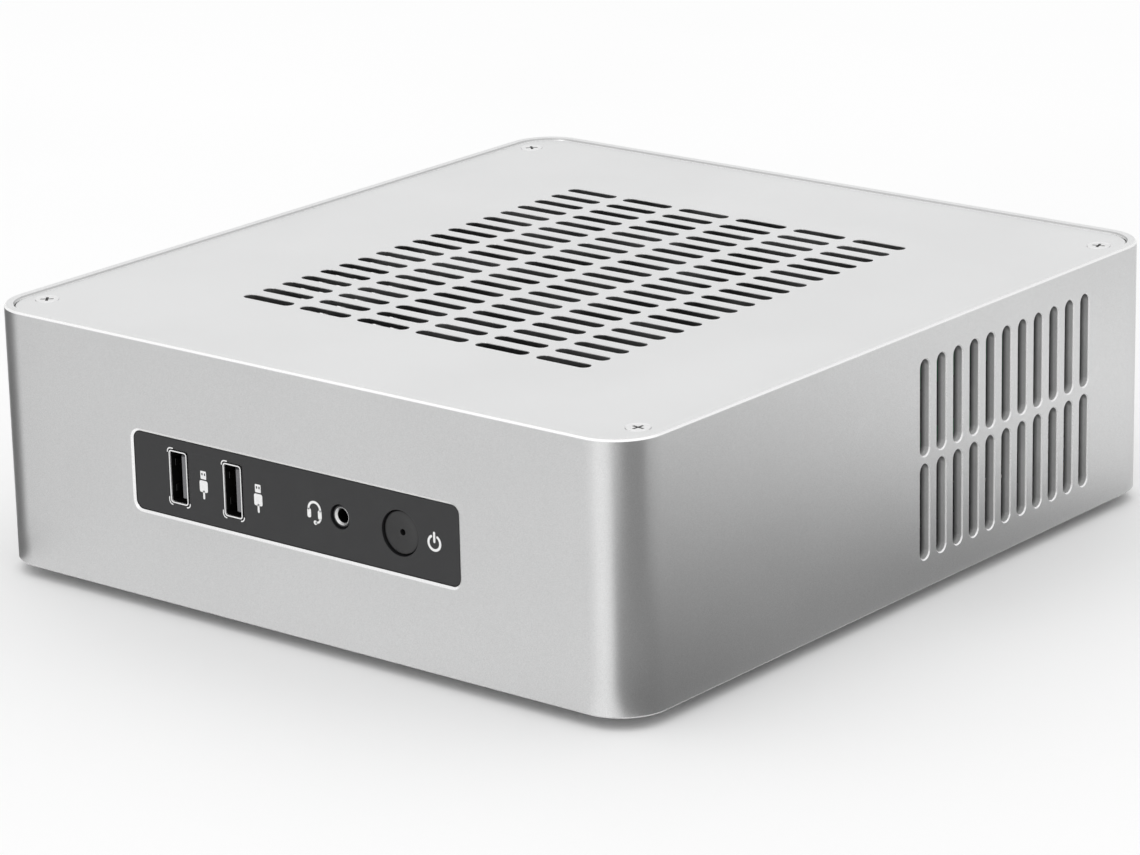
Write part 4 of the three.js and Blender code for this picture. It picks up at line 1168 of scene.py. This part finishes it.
def cooler_fan():
    x, y, _ = middle("fan_frame")
    x0, x1, y0, y1, z0, z1 = extents("fan_frame")
    holes = [circle(FAN_BORE, x, y, 96)]
    holes += [circle(2.1, x + sx * FAN_SCREW_OFFSET, y + sy * FAN_SCREW_OFFSET, 24)
              for sx, sy in CORNERS.values()]
    levels = [(0.3, 0, z0), (0, 0, z0 + 0.3), (0, 0, z0 + 2.8), (0.9, 0, z0 + 3.2), (0.9, 0, z1 - 3.2),
              (0, 0, z1 - 2.8), (0, 0, z1 - 0.3), (0.3, 0.6, z1)]
    parts = [stack(rect(x1 - x0, y1 - y0, 4.5, x, y, 8), levels, holes)]
    parts.append(turned([(0, z0), (15.7, z0), (16, z0 + 0.3), (16, z0 + 2.3), (15.7, z0 + 2.6),
                         (1.9, z0 + 2.6), (1.9, z0 + 0.6), (0, z0 + 0.6)], at=(x, y, 0)))
    for i in range(4):
        arm = block((15.2, -1.5, z0), (39, 1.5, z0 + 2.6), 0.4, axis="X", bevel=0.1)
        arm.transform(Matrix.Rotation(math.radians(45 + 90 * i), 4, "Z"))
        parts.append(shifted(arm, x, y, 0))
    show("fan_housing", parts, "fan", nodes=["fan_frame"])

    low, high = z0 + 3.2, z1 - 0.8
    hub = [(0, z0 + 1), (1.5, z0 + 1), (1.5, low), (15.4, low), (15.8, low + 0.3), (16, low + 0.8),
           (16, high - 1.4), (15.6, high - 0.5), (14.6, high), (0, high)]
    blades = [blade(2 * math.pi * i / FAN_BLADES, low + 0.6, high - 0.6, 15.6, 36.4)
              for i in range(FAN_BLADES)]
    rotor = joined([turned(hub)] + blades)
    show("fan_wheel", shifted(rotor, x, y, 0), "fan", body="fan_rotor", nodes=["fan_rotor"], angle=40)


def smooth_route(points, steps):
    """A Catmull-Rom curve through the points."""
    points = [Vector(p) for p in points]
    padded = [2 * points[0] - points[1]] + points + [2 * points[-1] - points[-2]]
    curve = []
    for a, b, c, d in zip(padded, padded[1:], padded[2:], padded[3:]):
        for i in range(steps):
            t = i / steps
            curve.append(0.5 * (2 * b + (c - a) * t + (2 * a - 5 * b + 4 * c - d) * t ** 2
                                + (3 * b - a - 3 * c + d) * t ** 3))
    return curve + [points[-1]]


def lead_bundle(points, count, spread, radius, sides=10):
    """Round leads twisted loosely about a route, as one mesh."""
    bm = bmesh.new()
    up = Vector((0, 0, 1))
    for lead in range(count):
        rings = []
        for i, point in enumerate(points):
            ahead = (points[min(i + 1, len(points) - 1)] - points[max(i - 1, 0)]).normalized()
            side = ahead.orthogonal() if abs(ahead.dot(up)) > 0.99 else ahead.cross(up)
            side = side.normalized()
            lift = side.cross(ahead)
            around = 2 * math.pi * lead / count + 0.09 * i
            centre = point + (side * math.cos(around) + lift * math.sin(around)) * spread
            rings.append([bm.verts.new((centre + (side * math.cos(a) + lift * math.sin(a)) * radius) * MM)
                          for a in [2 * math.pi * k / sides for k in range(sides)]])
        for one, two in zip(rings, rings[1:]):
            for k in range(sides):
                bm.faces.new((one[k - 1], one[k], two[k], two[k - 1]))
        bm.faces.new(rings[0][::-1])
        bm.faces.new(rings[-1])
    return mesh_of(bm)


def front_cable():
    start = extents("front_io_board")[3] + 0.3
    route = [(-8, start, 33), (-8, -84, 33), (-12, -78, 31), (-20, -72, 31), (-27, -66, 34),
             (-31, -60.5, 33), (-32, -58, 28), (-32, -58, 22.7)]
    show("front_leads", lead_bundle(smooth_route(route, 8), 6, 1.25, 0.62), "sleeve",
         nodes=["front_io_cable"], angle=50)
    x0, x1, y0, y1, z0, z1 = extents("front_cable_plug")
    plug = [block((x0, y0, z0), (x1, y1, z1), 0.5)]
    plug += [block((x, y0 - 0.25, z0 + 3), (x + 0.8, y0 + 0.2, z1 - 1), 0.1) for x in grid(8, 2.2, -32.4)]
    show("lead_plug", plug, "black", nodes=["front_cable_plug"])


surround()
lid()
base()
corner_screws()
feet()
control_panel()
usb_sockets()
headset_socket()
power_button()
pictures()
front_electronics()
shield()
rear_usb()
video_ports()
lan_port()
audio_ports()
power_inlet()
antenna_plugs()
memory()
storage()
board_parts()
cooler_fan()
front_cable()


KEPT = {
    "cpu_socket": "cream", "cpu_heatsink": "fins", "regulator_heatsink": "fins", "memory_slot_1": "black",
    "memory_slot_2": "black", "power_switch_body": "black", "power_switch_plunger": "cream",
}
for corner in CORNERS:
    KEPT[f"board_standoff_{corner}"] = "brass"
    KEPT[f"board_screw_{corner}"] = "screw"
for kept_node, kept_look in KEPT.items():
    dress(kept_node, kept_look)


# ------------------------------------------------------------------ floor, cards for painted reflections, and light
def floor():
    s = Shader("studio_floor", Specular_IOR_Level=0.0)
    cloud = s.noise(180, 2, 0.5)
    base = s.blend(cloud, grey(0.93), grey(0.96))
    material = s.finish(base, s.over(cloud, 0.55, 0.65), s.bump(s.noise(3, 2), 0.05, 0.05))
    bm = bmesh.new()
    bmesh.ops.create_grid(bm, x_segments=8, y_segments=8, size=25)
    stage_piece("floor", mesh_of(bm), material)


def stage_piece(name, mesh, material):
    mesh.materials.append(material)
    piece = bpy.data.objects.new(name, mesh)
    bpy.context.scene.collection.objects.link(piece)
    return piece


def glowing(name, glow):
    """A nearly black card that gives off an even light; the cards are seen only in gloss, as painted
    reflections: painted highlights where they glow brightly, painted shade where they glow dimly.
    """
    s = Shader(name)
    s.finish(s.blend(s.noise(12, 3), grey(0.05), grey(0.07)), 0.9)
    s.bsdf.inputs["Emission Color"].default_value = (1, 1, 1, 1)
    s.bsdf.inputs["Emission Strength"].default_value = glow
    return s


def card_piece(name, corners, s):
    """Stages a four-cornered card that shows only in gloss, as a painted reflection."""
    bm = bmesh.new()
    bm.faces.new([bm.verts.new([c * MM for c in corner]) for corner in corners])
    card = stage_piece(name, mesh_of(bm), s.material)
    card.visible_camera = card.visible_diffuse = card.visible_shadow = False


def gloss_card(name, centre, reach, clear_from, glow, low, high, lift=0.5):
    """A card lying beside the case with a soft oval edge, seen only in gloss: a painted reflection of the
    floor, lit or in shadow.

    centre and reach give the oval, low and high the corners of the card itself."""
    s = glowing(name, glow)
    place = s.add("ShaderNodeMapping", {
        "Vector": s.coords, "Location": (-centre[0] / reach[0], -centre[1] / reach[1], 0),
        "Scale": (1 / (reach[0] * MM), 1 / (reach[1] * MM), 0)})
    distance = s.add("ShaderNodeVectorMath", {0: place.outputs["Vector"]}, operation="LENGTH")
    mix = s.add("ShaderNodeMixShader", {
        0: s.fit(distance.outputs["Value"], clear_from, 1.0), 1: s.bsdf.outputs[0],
        2: s.add("ShaderNodeBsdfTransparent").outputs[0]})
    s.put(s.tree.nodes["Material Output"].inputs["Surface"], mix.outputs[0])
    card_piece(name, [(low[0], low[1], lift), (high[0], low[1], lift), (high[0], high[1], lift),
                      (low[0], high[1], lift)], s)


def corner_card(name, glow, x0, y0, x1, y1):
    """A narrow card standing close to a corner of the case, seen only in gloss: a painted reflection down
    that corner, a painted highlight when bright and painted shade when dim.
    """
    card_piece(name, [(x0, y0, -30), (x1, y1, -30), (x1, y1, 70), (x0, y0, 70)], glowing(name, glow))


def area_light(name, place, target, size, power):
    data = bpy.data.lights.new(name, "AREA")
    data.shape = "RECTANGLE"
    data.size, data.size_y = size
    data.energy = power
    lamp = bpy.data.objects.new(name, data)
    bpy.context.scene.collection.objects.link(lamp)
    lamp.location = place
    lamp.rotation_euler = (Vector(target) - Vector(place)).to_track_quat("-Z", "Y").to_euler()
    return lamp


def world(strength):
    scene_world = bpy.data.worlds.new("studio")
    scene_world.use_nodes = True
    background = scene_world.node_tree.nodes["Background"]
    background.inputs["Color"].default_value = (1, 1, 1, 1)
    background.inputs["Strength"].default_value = strength
    bpy.context.scene.world = scene_world


floor()
# Cards seen only in the case's gloss. Dim ones paint shade where the floor would lie in shadow; bright
# ones paint highlights and lighter floor on the faces.
gloss_card("painted_shadow_card", (103, -125), (310, 255), 0.25, 0.125, (103, -380), (413, 130))
gloss_card("painted_foot_shade_card", (103, 0), (85, 115), 0.2, 0.27, (103, -115), (188, 115), lift=0.8)
gloss_card("painted_far_light_card", (190, 200), (140, 130), 0.1, 1.15, (108, 98), (325, 335), lift=1.1)
gloss_card("painted_highlight_card", (95, -185), (150, 150), 0.1, 0.93, (-60, -335), (102, -112), lift=0.8)
gloss_card("painted_front_light_card", (-40, -112), (190, 80), 0.3, 0.95, (-200, -192), (100, -109), lift=1.1)
gloss_card("painted_left_shade_card", (-112, -104), (24, 26), 0.5, 0.13, (-136, -130), (-100, -78), lift=1.4)
gloss_card("painted_toe_highlight_card", (93, -118), (11, 16), 0.5, 1.12, (82, -134), (99, -108), lift=1.5)
gloss_card("toe_shade", (107, -112), (11, 22), 0.5, 0.14, (99.5, -130), (103.2, -106), lift=1.7)
# a painted highlight down the near corner, then painted shade beside it and down the far-left corner
corner_card("painted_corner_highlight_card", 1.25, 84, -135, 107, -135)
corner_card("painted_corner_shade_card", 0.30, 117, -126, 131, -97)
corner_card("painted_left_corner_shade_card", 0.14, -122, -124, -125, -92)
area_light("top_softbox", (-0.1, 0.1, 2.0), (0, 0, 0), (4, 4), 15)
area_light("front_softbox", (-0.15, -1.5, 0.35), (0, 0, 0.03), (0.5, 0.7), 2)
world(0.87)
bpy.context.scene.view_settings.view_transform = "Standard"
